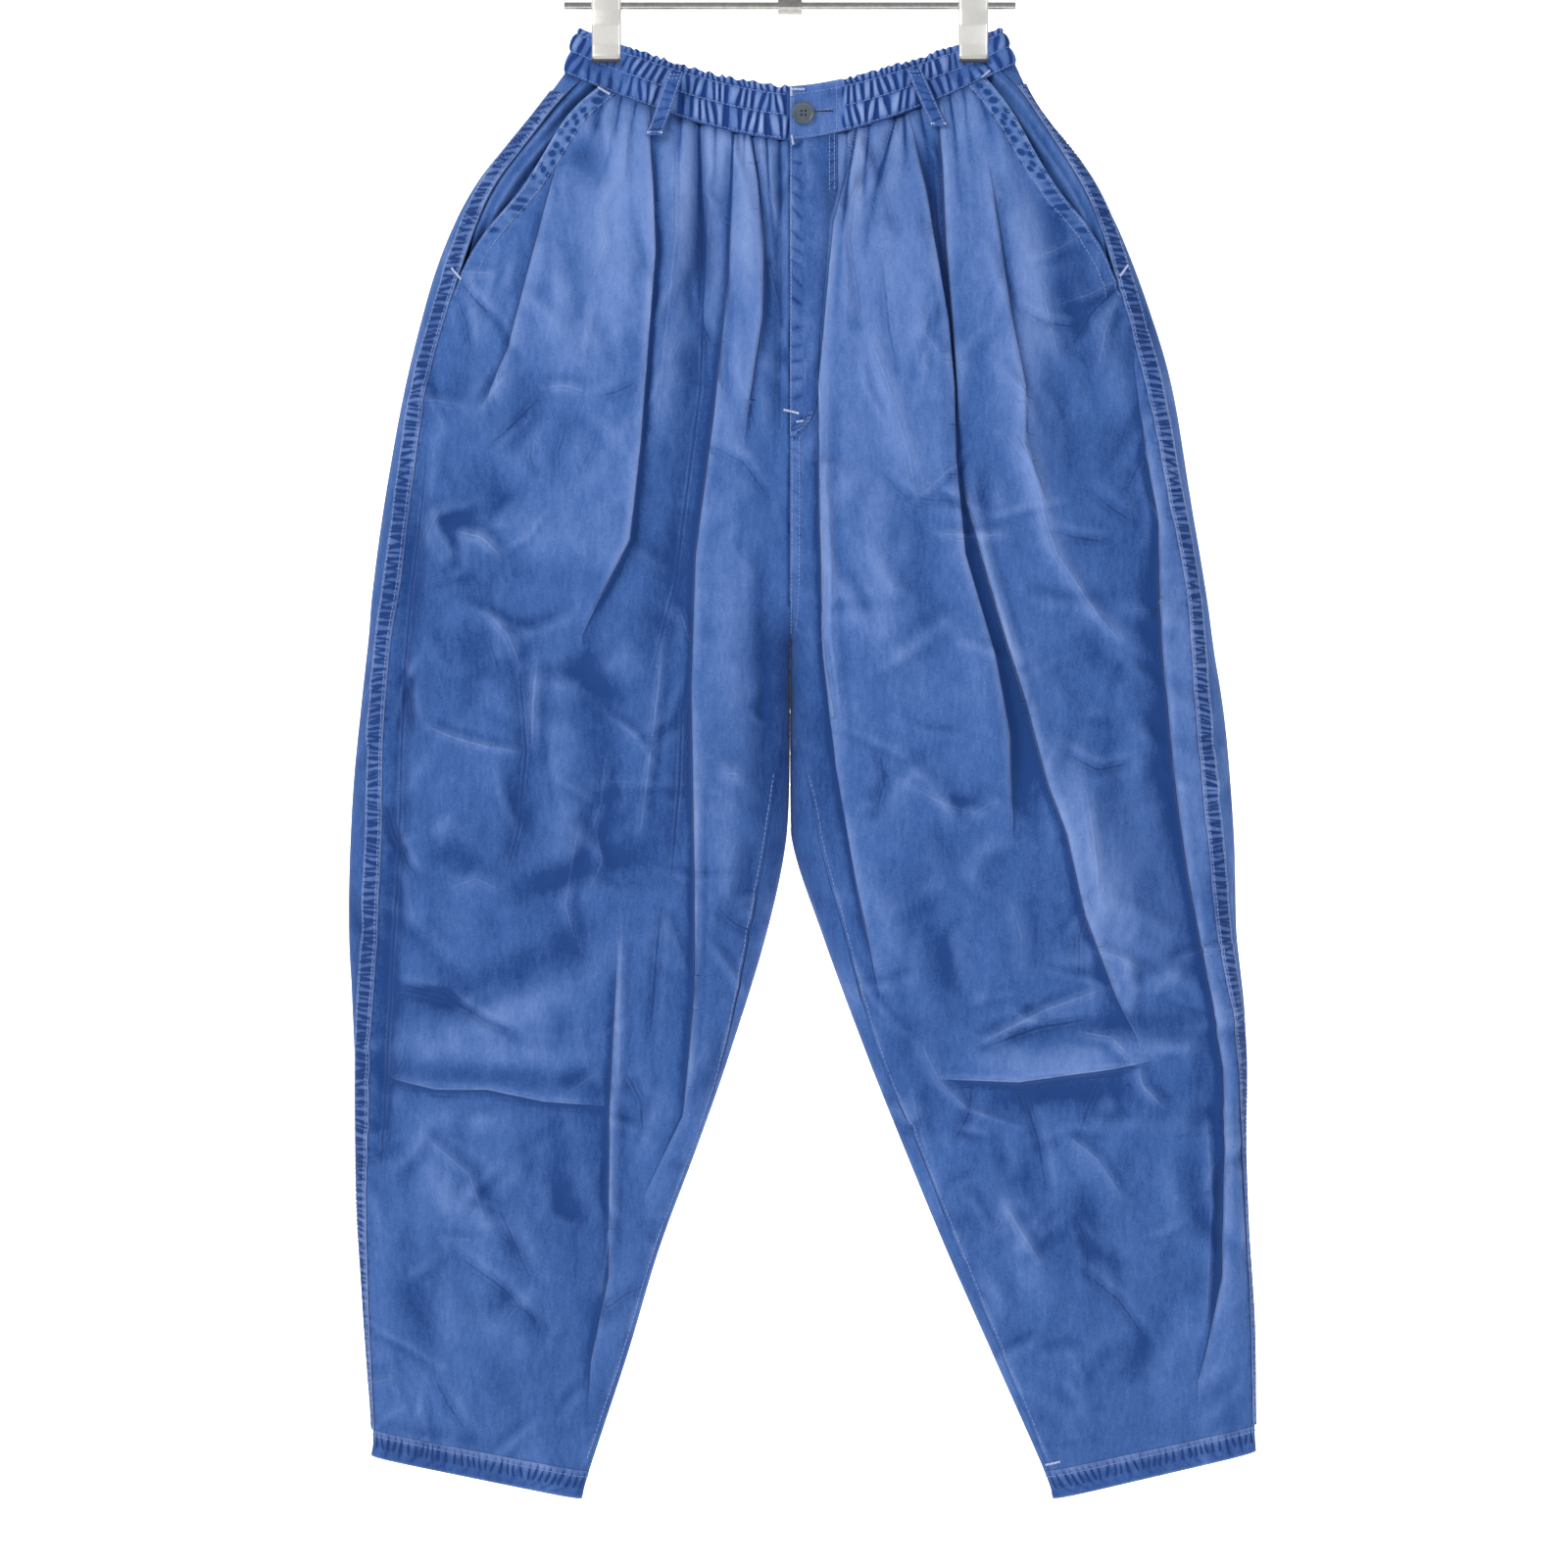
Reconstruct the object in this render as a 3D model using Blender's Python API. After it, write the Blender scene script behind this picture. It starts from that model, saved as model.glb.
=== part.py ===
"""Balloon trousers of washed cotton twill, hung from a plain clip hanger.

The frame is in metres, +Z up. The origin is the underside of the hook's crown, where a rail
carries it. The front of the trousers faces -Y, and left and right are the wearer's, so the
left leg is at +X. The tables and the working sizes are in millimetres. A drop is a distance
below the origin, and an x in a table is a distance from the centre line.
"""

import math
from collections import namedtuple

import bmesh
import bpy
import numpy as np
from mathutils import Vector
from mathutils.bvhtree import BVHTree

MM = 0.001
SHARP_ANGLE = math.radians(50)

# Cloth and sewing sizes
CLOTH_WALL = 1.5
BAND_WALL = 2.0
HEM_WALL = 2.2
FACING_WALL = 1.2
STRIP_WALL = 1.0
SEAM_GAP = 0.3
TIP_ROUNDNESS = 0.45  # radius of a flattened oval's tip as a share of its half depth
SEAM_STRIP_WIDTH = 12.5
FLY_WIDTH = 32.0
FLY_ROWS = 10  # rows of the left front that the fly covers, from the waist seam down
FLY_FOOT_IN, FLY_FOOT_UP = 0.55, 0.35  # how far its lower corner is rounded off
TIP_FADE = 12.0  # folds die out this near a side edge
NORMAL_REACH = 1.5  # arc length each way over which a direction outwards is measured

# Waistband sizes
BAND_TOP_DROP_MID, BAND_TOP_DROP_SIDE = 150.5, 110.0
BAND_TOP_HALF_WIDTH = 142.0
BAND_TOP_DEPTH, BAND_SEAM_DEPTH = 7.5, 8.5
BAND_SAG_POWER = 1.5  # the hung waist line sags as distance from the centre to this power
TAB_LENGTH = 34.0
TAB_RAMP = 10.0
RUFFLE_COLUMNS = 180
CLIP_X = 123.5
CLIP_PINCH_HALF_DEPTH = 3.0
CLIP_PINCH_REACH = 17.0
CLIP_PINCH_POWER = 6
CLIP_HOLD_HEIGHTS = 0.55, 1.0  # the pinch lets go between these shares of the band's height
CLIP_PINCH_SHARE = 0.85  # how much of the ruffle it flattens

# Clip hanger sizes
ROD_DROP, ROD_RADIUS, ROD_HALF_LENGTH = 95.0, 2.5, 152.0
WIRE_RADIUS = 2.0
HOOK_RADIUS = 22.0
HOOK_START_ANGLE, HOOK_END_ANGLE = math.radians(-42), math.radians(205)
HOOK_STEPS = 17
HOOK_NECK_BEND, HOOK_SHOULDER_X, HOOK_SHOULDER_RISE = 14.0, 6.0, 3.0
SOCKET_RADIUS, SOCKET_LENGTH = 6.0, 16.0
CLIP_WIDTH = 20.0
CLIP_PLATE = 1.2
BARREL_RADIUS, BARREL_LENGTH = 4.4, 18.0
# The inner face of a clip's plate, from the lip at its foot up to its finger grip, as the
# distance from the middle plane and the drop.
CLIP_GRIP = CLIP_PINCH_HALF_DEPTH + 0.8
CLIP_PIVOT = BARREL_RADIUS + SEAM_GAP
CLIP_PROFILE = [
    (CLIP_GRIP + 2.4, 132.0),
    (CLIP_GRIP, 129.6),
    (CLIP_GRIP, 122.0),
    (CLIP_PIVOT + 1.2, 109.0),
    (CLIP_PIVOT, 99.0),
    (CLIP_PIVOT, 91.0),
    (CLIP_PIVOT + 6.5, 72.0),
]

# The button: its place, and its profile as radius and height from its flat back
BUTTON_X, BUTTON_DROP = 9.0, 169.0
BUTTON_LEVEL = 0.5
BUTTON_PROFILE = [(6.4, 0.0), (7.6, 0.9), (7.4, 2.4), (6.6, 2.6), (5.4, 1.9)]
BUTTON_SIDES = 20
BUTTON_HOLE_RADIUS, BUTTON_HOLE_OFFSET = 0.85, 1.9
HOLE_CUTTER_LENGTH = 10.0

# Sections of the garment, top to bottom. The side drop is at the outer edge, which the left
# lift raises on the left side, and the mid drop is at the inner edge. The depth is a half
# depth. An inner x below zero means that the two legs are still one body there.
Section = namedtuple(
    "Section",
    "name side_drop left_lift mid_drop depth right_out right_in left_out left_in",
)
SECTIONS = [
    Section("waist", 141, 6, 187, 9.0, 152, -152, 152, -152),
    Section("gathers", 167, 3, 205, 13, 172, -172, 167, -167),
    Section("pocket", 216, 0, 240, 20, 212, -212, 206, -206),
    Section("hip", 269, 0, 281, 26, 237, -237, 231, -231),
    Section("seat", 342, 0, 347, 30, 257, -257, 255, -255),
    Section("rise", 421, 0, 422, 32, 272, -140, 269, -140),
    Section("fork", 488, 0, 488, 32, 281, -35, 280, -35),
    Section("crotch", 523, 0, 523, 32, 284, 0, 285, 0),
    Section("thigh", 586, 0, 586, 32, 291, 2, 294, 1),
    Section("legs part", 652, 0, 653, 31, 296, 4, 299, 1),
    Section("above knee", 718, 0, 721, 28, 297, 16, 301, 22),
    Section("knee", 784, 0, 802, 24, 294, 41, 307, 52),
    Section("shin", 850, 0, 862, 20, 292, 62, 306, 76),
    Section("calf", 916, 0, 932, 16, 290, 88, 308, 105),
    Section("low calf", 982, 0, 1002, 13, 286, 109, 312, 136),
    Section("hem seam", 1053, 3, 1081, 9.5, 281, 135, 313, 171),
    Section("hem edge", 1071, 3, 1100, 9.0, 282, 140, 314, 177),
]
CROTCH_ROW = 7
HEM_ROW = 15

# Where the seams lie on those sections: the x of the side seam and of the front panel's outer
# edge, which the slant pocket cuts back, and how far the inseam lies inside the inner edge.
SeamLine = namedtuple(
    "SeamLine",
    "right_seam right_edge right_inseam left_seam left_edge left_inseam",
)
SEAMS = [
    SeamLine(140, 128, 0, 142, 131, 0),
    SeamLine(161, 150, 0, 163, 149, 0),
    SeamLine(197, 179, 0, 196, 178, 0),
    SeamLine(218, 216, 0, 216, 214, 0),
    SeamLine(240, 240, 0, 235, 235, 0),
    SeamLine(253, 253, 0, 249, 249, 0),
    SeamLine(262, 262, 0, 261, 261, 0),
    SeamLine(267, 267, 0, 264, 264, 0),
    SeamLine(272, 272, 5, 269, 269, 5),
    SeamLine(273, 273, 13, 276, 276, 18),
    SeamLine(276, 276, 12, 283, 283, 15),
    SeamLine(281, 281, 4, 295, 295, 8),
    SeamLine(283, 283, 2, 301, 301, 10),
    SeamLine(284, 284, 2, 305, 305, 8),
    SeamLine(282, 282, 2, 309, 309, 6),
    SeamLine(279, 279, 2, 311, 311, 3),
    SeamLine(279, 279, 2, 312, 312, 3),
]
# How many rows of faces each stretch between two sections has.
STRETCH_ROWS = [2, 2, 2, 2, 2, 2, 2, 2, 2, 2, 2, 2, 1, 2, 2]
FRONT_COLUMNS = 20
BACK_COLUMNS = 22
POCKET_LAST_ROW = 7

# The main folds. A path runs down (x is read from the drop) or across (the drop is read from
# x), and its points are (x, drop), with x signed. A ridge or trough has its height and width.
# A step rises over its width on the high side, +1 towards +X or downwards, and sinks back
# over its plateau.
Fold = namedtuple("Fold", "run kind high height width plateau path")
FRONT_FOLDS = [
    Fold("down", "step", -1, 8.0, 4, 50,
         [(-95, 165), (-91, 263), (-101, 395), (-108, 456), (-139, 520)]),
    Fold("down", "ridge", 0, 4.0, 10, 0, [(-76, 180), (-76, 250), (-84, 330), (-90, 395)]),
    Fold("down", "trough", 0, 5.0, 13, 0, [(-55, 210), (-60, 355), (-77, 487), (-96, 560)]),
    Fold("down", "step", 1, 5.5, 4, 34,
         [(-38, 177), (-40, 282), (-50, 375), (-62, 467), (-65, 553), (-63, 685),
          (-63, 757), (-72, 841), (-97, 894)]),
    Fold("down", "trough", 0, 3.0, 6, 0,
         [(-24, 190), (-16, 249), (-11, 375), (-20, 461), (-17, 566), (-18, 645)]),
    Fold("down", "trough", 0, 4.0, 8, 0, [(-181, 534), (-176, 597), (-181, 649), (-192, 688)]),
    Fold("down", "trough", 0, 5.0, 8, 0,
         [(-240, 368), (-246, 421), (-255, 487), (-260, 553), (-262, 652), (-268, 751),
          (-272, 817), (-276, 900)]),
    Fold("down", "step", 1, 4.0, 4, 28, [(-154, 201), (-173, 274), (-187, 329), (-205, 370)]),
    Fold("across", "step", -1, 5.0, 4, 28, [(-271, 819), (-202, 825), (-123, 832)]),
    Fold("across", "trough", 0, 3.0, 6, 0, [(-265, 755), (-228, 764), (-207, 774), (-177, 787)]),
    Fold("down", "step", 1, 4.0, 4, 20,
         [(-114, 725), (-117, 784), (-120, 837), (-121, 949), (-133, 1006), (-135, 1037)]),
    Fold("down", "step", 1, 7.0, 4, 34,
         [(46, 185), (30, 243), (24, 312), (20, 353), (21, 447), (25, 534), (33, 608),
          (46, 685), (60, 757)]),
    Fold("down", "trough", 0, 3.5, 5, 0, [(65, 183), (42, 228), (40, 256), (49, 315)]),
    Fold("down", "ridge", 0, 3.0, 8, 0, [(50, 315), (65, 355), (79, 403), (85, 440)]),
    Fold("down", "trough", 0, 4.0, 9, 0, [(98, 195), (104, 300), (110, 403), (118, 450)]),
    Fold("down", "step", -1, 8.0, 4, 42,
         [(90, 216), (95, 253), (102, 305), (108, 355), (109, 403), (115, 466), (135, 534),
          (145, 587), (148, 649)]),
    Fold("down", "step", 1, 6.0, 5, 32,
         [(110, 403), (126, 460), (143, 519), (158, 565), (172, 618), (185, 652), (197, 705),
          (218, 761), (233, 791)]),
    Fold("down", "step", -1, 4.0, 4, 26,
         [(131, 203), (139, 252), (147, 308), (156, 353), (156, 393), (170, 434)]),
    Fold("down", "ridge", 0, 4.0, 7, 0,
         [(154, 376), (168, 440), (176, 465), (204, 507), (229, 535)]),
    Fold("down", "step", 1, 8.0, 4, 22,
         [(231, 342), (238, 400), (246, 447), (247, 502), (250, 544), (256, 608), (267, 685),
          (281, 757), (290, 810), (291, 862), (290, 949), (279, 1002), (274, 1020)]),
    Fold("across", "step", -1, 5.0, 4, 24,
         [(100, 816), (153, 818), (187, 813), (218, 809), (240, 804)]),
    Fold("down", "ridge", 0, 3.0, 6, 0, [(86, 789), (100, 818), (117, 835), (155, 850)]),
]
BACK_FOLDS = [
    Fold("down", "step", -1, 6.0, 4, 40, [(-70, 180), (-74, 300), (-92, 420), (-120, 540)]),
    Fold("down", "step", 1, 6.0, 4, 40, [(84, 178), (90, 290), (104, 400), (140, 560)]),
    Fold("down", "trough", 0, 4.5, 12, 0, [(-30, 200), (-34, 330), (-46, 470), (-60, 640)]),
    Fold("down", "trough", 0, 4.5, 12, 0, [(38, 200), (40, 340), (52, 470), (76, 660)]),
    Fold("down", "ridge", 0, 4.0, 12, 0, [(-130, 190), (-150, 300), (-172, 430), (-190, 560)]),
    Fold("down", "ridge", 0, 4.0, 12, 0, [(140, 200), (160, 310), (180, 440), (205, 600)]),
    Fold("down", "trough", 0, 4.0, 9, 0, [(-225, 420), (-232, 560), (-236, 720), (-240, 860)]),
    Fold("down", "trough", 0, 4.0, 9, 0, [(228, 400), (240, 560), (250, 720), (262, 880)]),
    Fold("across", "step", -1, 5.0, 4, 26, [(-262, 800), (-190, 812), (-100, 806)]),
    Fold("across", "step", -1, 5.0, 4, 26, [(90, 800), (170, 816), (262, 806)]),
    Fold("down", "step", 1, 4.0, 4, 26, [(-150, 640), (-152, 760), (-160, 900), (-182, 1000)]),
    Fold("down", "step", -1, 4.0, 4, 26, [(168, 640), (176, 760), (198, 900), (222, 1000)]),
]
FOLD_EASE = 0.18  # share of its length over which a fold rises at each end
FOLD_RUN_OUT = 0.3  # share of that ease that lies past the end of its path
CROWDING = 0.35  # how much more closely columns stand, for each millimetre of fold height
CROWD_REACH = 5.0
GATHER_HEIGHT = 2.0
GATHER_FADE_DROP = 75.0
POCKET_GAPE = 3.5
POCKET_GAPE_REACH = 22.0
FACING_UNDERLAP = 14.0
FACING_CLEARANCE = 0.5
HEM_COLUMNS = 36

# Where each belt loop lies: its x at the top and at the bottom, and its side of the garment,
# which is -1 at the front. It starts a little below the band's top and ends on the panel.
LoopPlace = namedtuple("LoopPlace", "name top_x bottom_x face")
LOOPS = [
    LoopPlace("belt_loop_front_right", -76, -91, -1),
    LoopPlace("belt_loop_front_left", 83, 100, -1),
    LoopPlace("belt_loop_back_right", -84, -94, 1),
    LoopPlace("belt_loop_back_centre", 0, 0, 1),
    LoopPlace("belt_loop_back_left", 84, 94, 1),
]
LOOP_WIDTH, LOOP_WALL = 10.5, 1.5
LOOP_TOP_INSET, LOOP_TAIL = 8.0, 20.0
LOOP_ROWS = 6
LOOP_PROBE_MARGIN = 1.0
PROBE_START = 200.0
PROBES_ACROSS, PROBES_DOWN = 41, 13


def clear_scene():
    for obj in list(bpy.data.objects):
        bpy.data.objects.remove(obj, do_unlink=True)


def make_material(name, colour, roughness, metallic=0.0):
    material = bpy.data.materials.new(name)
    material.use_nodes = True
    shader = material.node_tree.nodes["Principled BSDF"]
    shader.inputs["Base Color"].default_value = (*colour, 1.0)
    shader.inputs["Roughness"].default_value = roughness
    shader.inputs["Metallic"].default_value = metallic
    return material


def add_object(name, mesh, material):
    obj = bpy.data.objects.new(name, mesh)
    bpy.context.scene.collection.objects.link(obj)
    mesh.materials.append(material)
    return obj


def smooth_mesh(mesh):
    mesh.shade_smooth()
    mesh.set_sharp_from_angle(angle=SHARP_ANGLE)


def closed_mesh(name, points, faces):
    """A mesh from points in millimetres, with its faces turned outwards."""
    mesh = bpy.data.meshes.new(name)
    mesh.from_pydata([tuple(point * MM for point in place) for place in points], [], faces)
    work = bmesh.new()
    work.from_mesh(mesh)
    bmesh.ops.recalc_face_normals(work, faces=work.faces)
    work.to_mesh(mesh)
    work.free()
    smooth_mesh(mesh)
    return mesh


def smoothstep(low, high, value):
    share = np.clip((np.asarray(value, float) - low) / (high - low), 0, 1)
    return share * share * (3 - 2 * share)


def curve_through(values, at):
    """A Catmull-Rom curve through values, read at the fractional row numbers in at."""
    values = np.asarray(values, float)
    low = np.minimum(np.floor(at).astype(int), len(values) - 2)
    part = at - low
    first = 2 * values[0] - values[1]
    last = 2 * values[-1] - values[-2]
    padded = np.concatenate([[first], values, [last]])
    before, start, end, after = (padded[low + k] for k in range(4))
    return (
        start
        + 0.5 * (end - before) * part
        + 0.5 * (2 * before - 5 * start + 4 * end - after) * part**2
        + 0.5 * (3 * start - before - 3 * end + after) * part**3
    )


def fold_line(fold, x, drop):
    """How far each point is from the fold's line, and how much of the fold shows there."""
    down = fold.run == "down"
    path = np.array(fold.path, float)
    along, off = (drop, x) if down else (x, drop)
    keys, places = (path[:, 1], path[:, 0]) if down else (path[:, 0], path[:, 1])
    ease = FOLD_EASE * (keys[-1] - keys[0])
    shown = smoothstep(keys[0] - FOLD_RUN_OUT * ease, keys[0] + ease, along)
    shown = shown * (1 - smoothstep(keys[-1] - ease, keys[-1] + FOLD_RUN_OUT * ease, along))
    return off - np.interp(along, keys, places), shown


def fold_relief(folds, x, drop):
    """How far the folds push the cloth outwards at each signed x and drop."""
    relief = np.zeros_like(x)
    for fold in folds:
        away, shown = fold_line(fold, x, drop)
        if fold.kind == "step":
            over = fold.high * away
            rise = 0.5 * (1 + np.tanh(over / fold.width))
            form = rise * np.exp(-np.maximum(over, 0) / fold.plateau)
        else:
            form = np.exp(-((away / fold.width) ** 2))
        relief += (-1 if fold.kind == "trough" else 1) * fold.height * shown * form
    return relief


class Ring:
    """A flattened oval at one height, measured round by arc length.

    It starts at the tip on its high x side and runs over the front to the other tip and back.
    """

    def set_oval(self, low_x, high_x, depth, samples=1441):
        angle = np.linspace(0, 2 * math.pi, samples)
        cosine = np.cos(angle)
        half = (high_x - low_x) / 2
        power = depth / (TIP_ROUNDNESS * half)
        self.x = (low_x + high_x) / 2 + half * np.sign(cosine) * np.abs(cosine) ** power
        self.y = -depth * np.sin(angle)

    def measure(self):
        step = np.hypot(np.diff(self.x), np.diff(self.y))
        self.arc = np.concatenate([[0], np.cumsum(step)])
        self.length = self.arc[-1]
        self.turn = len(self.x) // 2

    def place(self, arcs):
        """The point at each arc length, and the direction outwards from the oval."""
        arcs = np.mod(arcs, self.length)
        x = np.interp(arcs, self.arc, self.x)
        y = np.interp(arcs, self.arc, self.y)
        ahead = np.mod(arcs + NORMAL_REACH, self.length)
        behind = np.mod(arcs - NORMAL_REACH, self.length)
        along_x = np.interp(ahead, self.arc, self.x) - np.interp(behind, self.arc, self.x)
        along_y = np.interp(ahead, self.arc, self.y) - np.interp(behind, self.arc, self.y)
        size = np.hypot(along_x, along_y)
        return x, y, -along_y / size, along_x / size

    def front_arc(self, x):
        """Arc length at which the front of the oval passes x."""
        half = slice(0, self.turn + 1)
        return float(np.interp(-x, -self.x[half], self.arc[half]))

    def back_arc(self, x):
        half = slice(self.turn, None)
        return float(np.interp(x, self.x[half], self.arc[half]))

    def half_depth_at(self, x):
        half = slice(0, self.turn + 1)
        return np.interp(-np.asarray(x), -self.x[half], np.abs(self.y[half]))


class Row(Ring):
    """One section of one leg: its outer and inner edge, its depth and its seams."""

    def __init__(self, side, at):
        def read(name, table=SECTIONS):
            return float(curve_through([getattr(row, name) for row in table], np.array(at)))

        self.sign = 1 if side == "left" else -1
        self.above_crotch = at < CROTCH_ROW
        self.out = read(side + "_out")
        self.inner = read(side + "_in")
        if not self.above_crotch:
            self.inner = max(self.inner, 0.0)
        self.depth = read("depth")
        self.side_drop = read("side_drop") - (read("left_lift") if side == "left" else 0.0)
        self.mid_drop = read("mid_drop")
        self.seam_x = read(side + "_seam", SEAMS)
        self.edge_x = min(read(side + "_edge", SEAMS), self.seam_x)
        self.inseam_x = self.inner + max(read(side + "_inseam", SEAMS), 0.0)
        self.set_oval(self.inner, self.out, self.depth)
        self.measure()

    def inner_end(self, face):
        """Arc length where the front or the back panel ends at the centre or the inseam."""
        middle = SEAM_GAP / 2
        if self.above_crotch:
            return self.front_arc(middle) if face == "front" else self.back_arc(middle)
        ends = self.front_arc(max(self.inseam_x, middle))
        return ends if face == "front" else ends + SEAM_GAP

    def drop_at(self, x):
        """A hung level line: it sags towards the centre above the crotch, straight below it."""
        centre = max(self.inner, 0.0)
        share = np.maximum((x - centre) / (self.out - centre), 0)
        power = BAND_SAG_POWER if self.above_crotch else 1.0
        return self.mid_drop + (self.side_drop - self.mid_drop) * share**power

    def points(self, arcs, moved_out, gathers=0.0):
        """Points at these arc lengths, moved out of the plain oval by the folds and moved_out."""
        x, y, out_x, out_y = self.place(arcs)
        drop = self.drop_at(x)
        fade = smoothstep(0, TIP_FADE, np.minimum(self.out - x, x - self.inner))
        front = fold_relief(FRONT_FOLDS, self.sign * x, drop)
        back = fold_relief(BACK_FOLDS, self.sign * x, drop)
        lift = fade * (np.where(y < 0, front, back) + gathers) + moved_out
        x = np.maximum(x + out_x * lift, SEAM_GAP / 2)
        return np.stack([self.sign * x, y + out_y * lift, -self.drop_at(x)], axis=-1)


def row_numbers(first=0, last=HEM_ROW):
    """Fractional section numbers, STRETCH_ROWS rows of faces to each stretch."""
    numbers = [0.0]
    for stretch, count in enumerate(STRETCH_ROWS):
        numbers += [stretch + (k + 1) / count for k in range(count)]
    return [at for at in numbers if first <= at <= last]


def sheet_object(name, outer, inner, material, closed=False):
    """A wall of cloth between two grids of points, closed round its edge.

    A closed sheet is a ring: its last column of faces runs back to the first.
    """
    rows, columns = outer.shape[:2]
    points = np.concatenate([outer.reshape(-1, 3), inner.reshape(-1, 3)])
    count = rows * columns
    faces = []
    for layer in (0, count):
        for i in range(rows - 1):
            for j in range(columns if closed else columns - 1):
                a = layer + i * columns + j
                b = layer + i * columns + (j + 1) % columns
                faces.append((a, b, b + columns, a + columns))
    for i in (0, rows - 1):
        for j in range(columns if closed else columns - 1):
            a = i * columns + j
            b = i * columns + (j + 1) % columns
            faces.append((a, a + count, b + count, b))
    if not closed:
        for j in (0, columns - 1):
            for i in range(rows - 1):
                a = i * columns + j
                faces.append((a, a + columns, a + columns + count, a + count))
    return add_object(name, closed_mesh(name, points, faces), material)


def uneven(number, pitch):
    """A height between a half and one that differs from one wave to the next."""
    return 0.75 + 0.25 * np.sin(pitch * number)


def gather_wave(columns, drop_below):
    """Small gathers that alternate from column to column and fade away below the seam."""
    j = np.arange(columns)
    size = uneven(j, 1.7)
    size[[0, -1]] = 0
    fade = 1 - smoothstep(0, GATHER_FADE_DROP, drop_below)
    return GATHER_HEIGHT * fade * size * np.where(j % 2, 1, -1)


def crowded(row, start, end, count, folds):
    """Arc lengths from start to end that crowd together where folds run down the cloth."""
    arcs = np.linspace(start, end, 401)
    x = np.interp(np.mod(arcs, row.length), row.arc, row.x)
    drop = row.drop_at(x)
    density = np.ones_like(arcs)
    for fold in folds:
        if fold.run == "down":
            away, shown = fold_line(fold, row.sign * x, drop)
            reach = fold.width + CROWD_REACH
            density += CROWDING * fold.height * shown * np.exp(-((away / reach) ** 2))
    total = np.concatenate([[0], np.cumsum((density[1:] + density[:-1]) / 2)])
    return np.interp(np.linspace(0, total[-1], count), total, arcs)


def front_arcs(row):
    """Columns from the outer edge, then two that the fly is made from."""
    end = row.inner_end("front")
    start = row.front_arc(row.edge_x)
    arcs = crowded(row, start, end - FLY_WIDTH, FRONT_COLUMNS - 2, FRONT_FOLDS)
    return np.concatenate([arcs, [end - FLY_WIDTH / 2, end]])


def back_arcs(row):
    """Columns from the inner end, then those that the side seam's strip is made from."""
    start = row.inner_end("back")
    end = row.length + row.front_arc(row.seam_x) - SEAM_GAP
    arcs = crowded(row, start, end - SEAM_STRIP_WIDTH, BACK_COLUMNS - 2, BACK_FOLDS)
    return np.concatenate([arcs, [end - SEAM_STRIP_WIDTH / 2, end]])


def pocket_gape(row, arcs):
    """The slant pocket's edge stands away from the body, most in the middle of the opening."""
    opening = smoothstep(2, 14, row.seam_x - row.edge_x)
    inwards = arcs - row.front_arc(row.edge_x)
    return POCKET_GAPE * opening * np.exp(-inwards / POCKET_GAPE_REACH)


def panel_grids(side, face, wall, moved_out=0.0, numbers=None):
    """Outer and inner points of a front or back panel."""
    outer, inner = [], []
    for at in numbers or row_numbers():
        row = Row(side, at)
        arcs = front_arcs(row) if face == "front" else back_arcs(row)
        below = row.mid_drop - SECTIONS[0].mid_drop
        gathers = gather_wave(len(arcs), below)
        out = moved_out + (pocket_gape(row, arcs) if face == "front" else 0.0)
        outer.append(row.points(arcs, out, gathers))
        inner.append(row.points(arcs, out - wall, gathers))
    return np.array(outer), np.array(inner)


def make_panels(cloth):
    for side in ("right", "left"):
        for face in ("front", "back"):
            outer, inner = panel_grids(side, face, CLOTH_WALL)
            sheet_object(f"{face}_{side}", outer, inner, cloth)


def make_side_seams(cloth):
    """The felled side seams: raised strips along the back panel's front edge."""
    for side in ("right", "left"):
        outer, inner = panel_grids(side, "back", STRIP_WALL, SEAM_GAP + STRIP_WALL)
        sheet_object(f"side_seam_{side}", outer[1:, -3:], inner[1:, -3:], cloth)


def make_fly(cloth):
    """The fly lies over the left front, and its foot is rounded like a J."""
    outer, inner = panel_grids("left", "front", STRIP_WALL, SEAM_GAP + STRIP_WALL)
    outer, inner = outer[:FLY_ROWS, -3:].copy(), inner[:FLY_ROWS, -3:].copy()
    for grid in (outer, inner):
        grid[-1, 0] += FLY_FOOT_IN * (grid[-1, 2] - grid[-1, 0])
        grid[-1, 0] += FLY_FOOT_UP * (grid[-2, 0] - grid[-1, 0])
    sheet_object("fly", outer, inner, cloth)


def make_pocket_facings(cloth):
    """The facing shows inside each slant pocket and runs on under the front panel's edge."""
    set_back = GATHER_HEIGHT + CLOTH_WALL + FACING_CLEARANCE
    for side in ("right", "left"):
        outer, inner = [], []
        for at in row_numbers()[:POCKET_LAST_ROW]:
            row = Row(side, at)
            seam = row.front_arc(row.seam_x) + SEAM_GAP
            edge = row.front_arc(row.edge_x)
            arcs = np.linspace(seam, edge + FACING_UNDERLAP, 5)
            recess = set_back * smoothstep(edge - 9, edge - 1, arcs)
            outer.append(row.points(arcs, -recess))
            inner.append(row.points(arcs, -recess - FACING_WALL))
        sheet_object(f"pocket_facing_{side}", np.array(outer), np.array(inner), cloth)


def make_hems(cloth):
    """The turned hems: a ring at the foot of each leg."""
    for side in ("right", "left"):
        grids = []
        top, foot = Row(side, HEM_ROW), Row(side, HEM_ROW + 1)
        shares = np.linspace(0, 1, HEM_COLUMNS, endpoint=False)
        for moved in (0.0, -HEM_WALL):
            upper = top.points(shares * top.length, moved)
            upper[:, 2] -= SEAM_GAP
            grids.append(np.array([upper, foot.points(shares * foot.length, moved)]))
        sheet_object(f"hem_{side}", grids[0], grids[1], cloth, closed=True)


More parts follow.
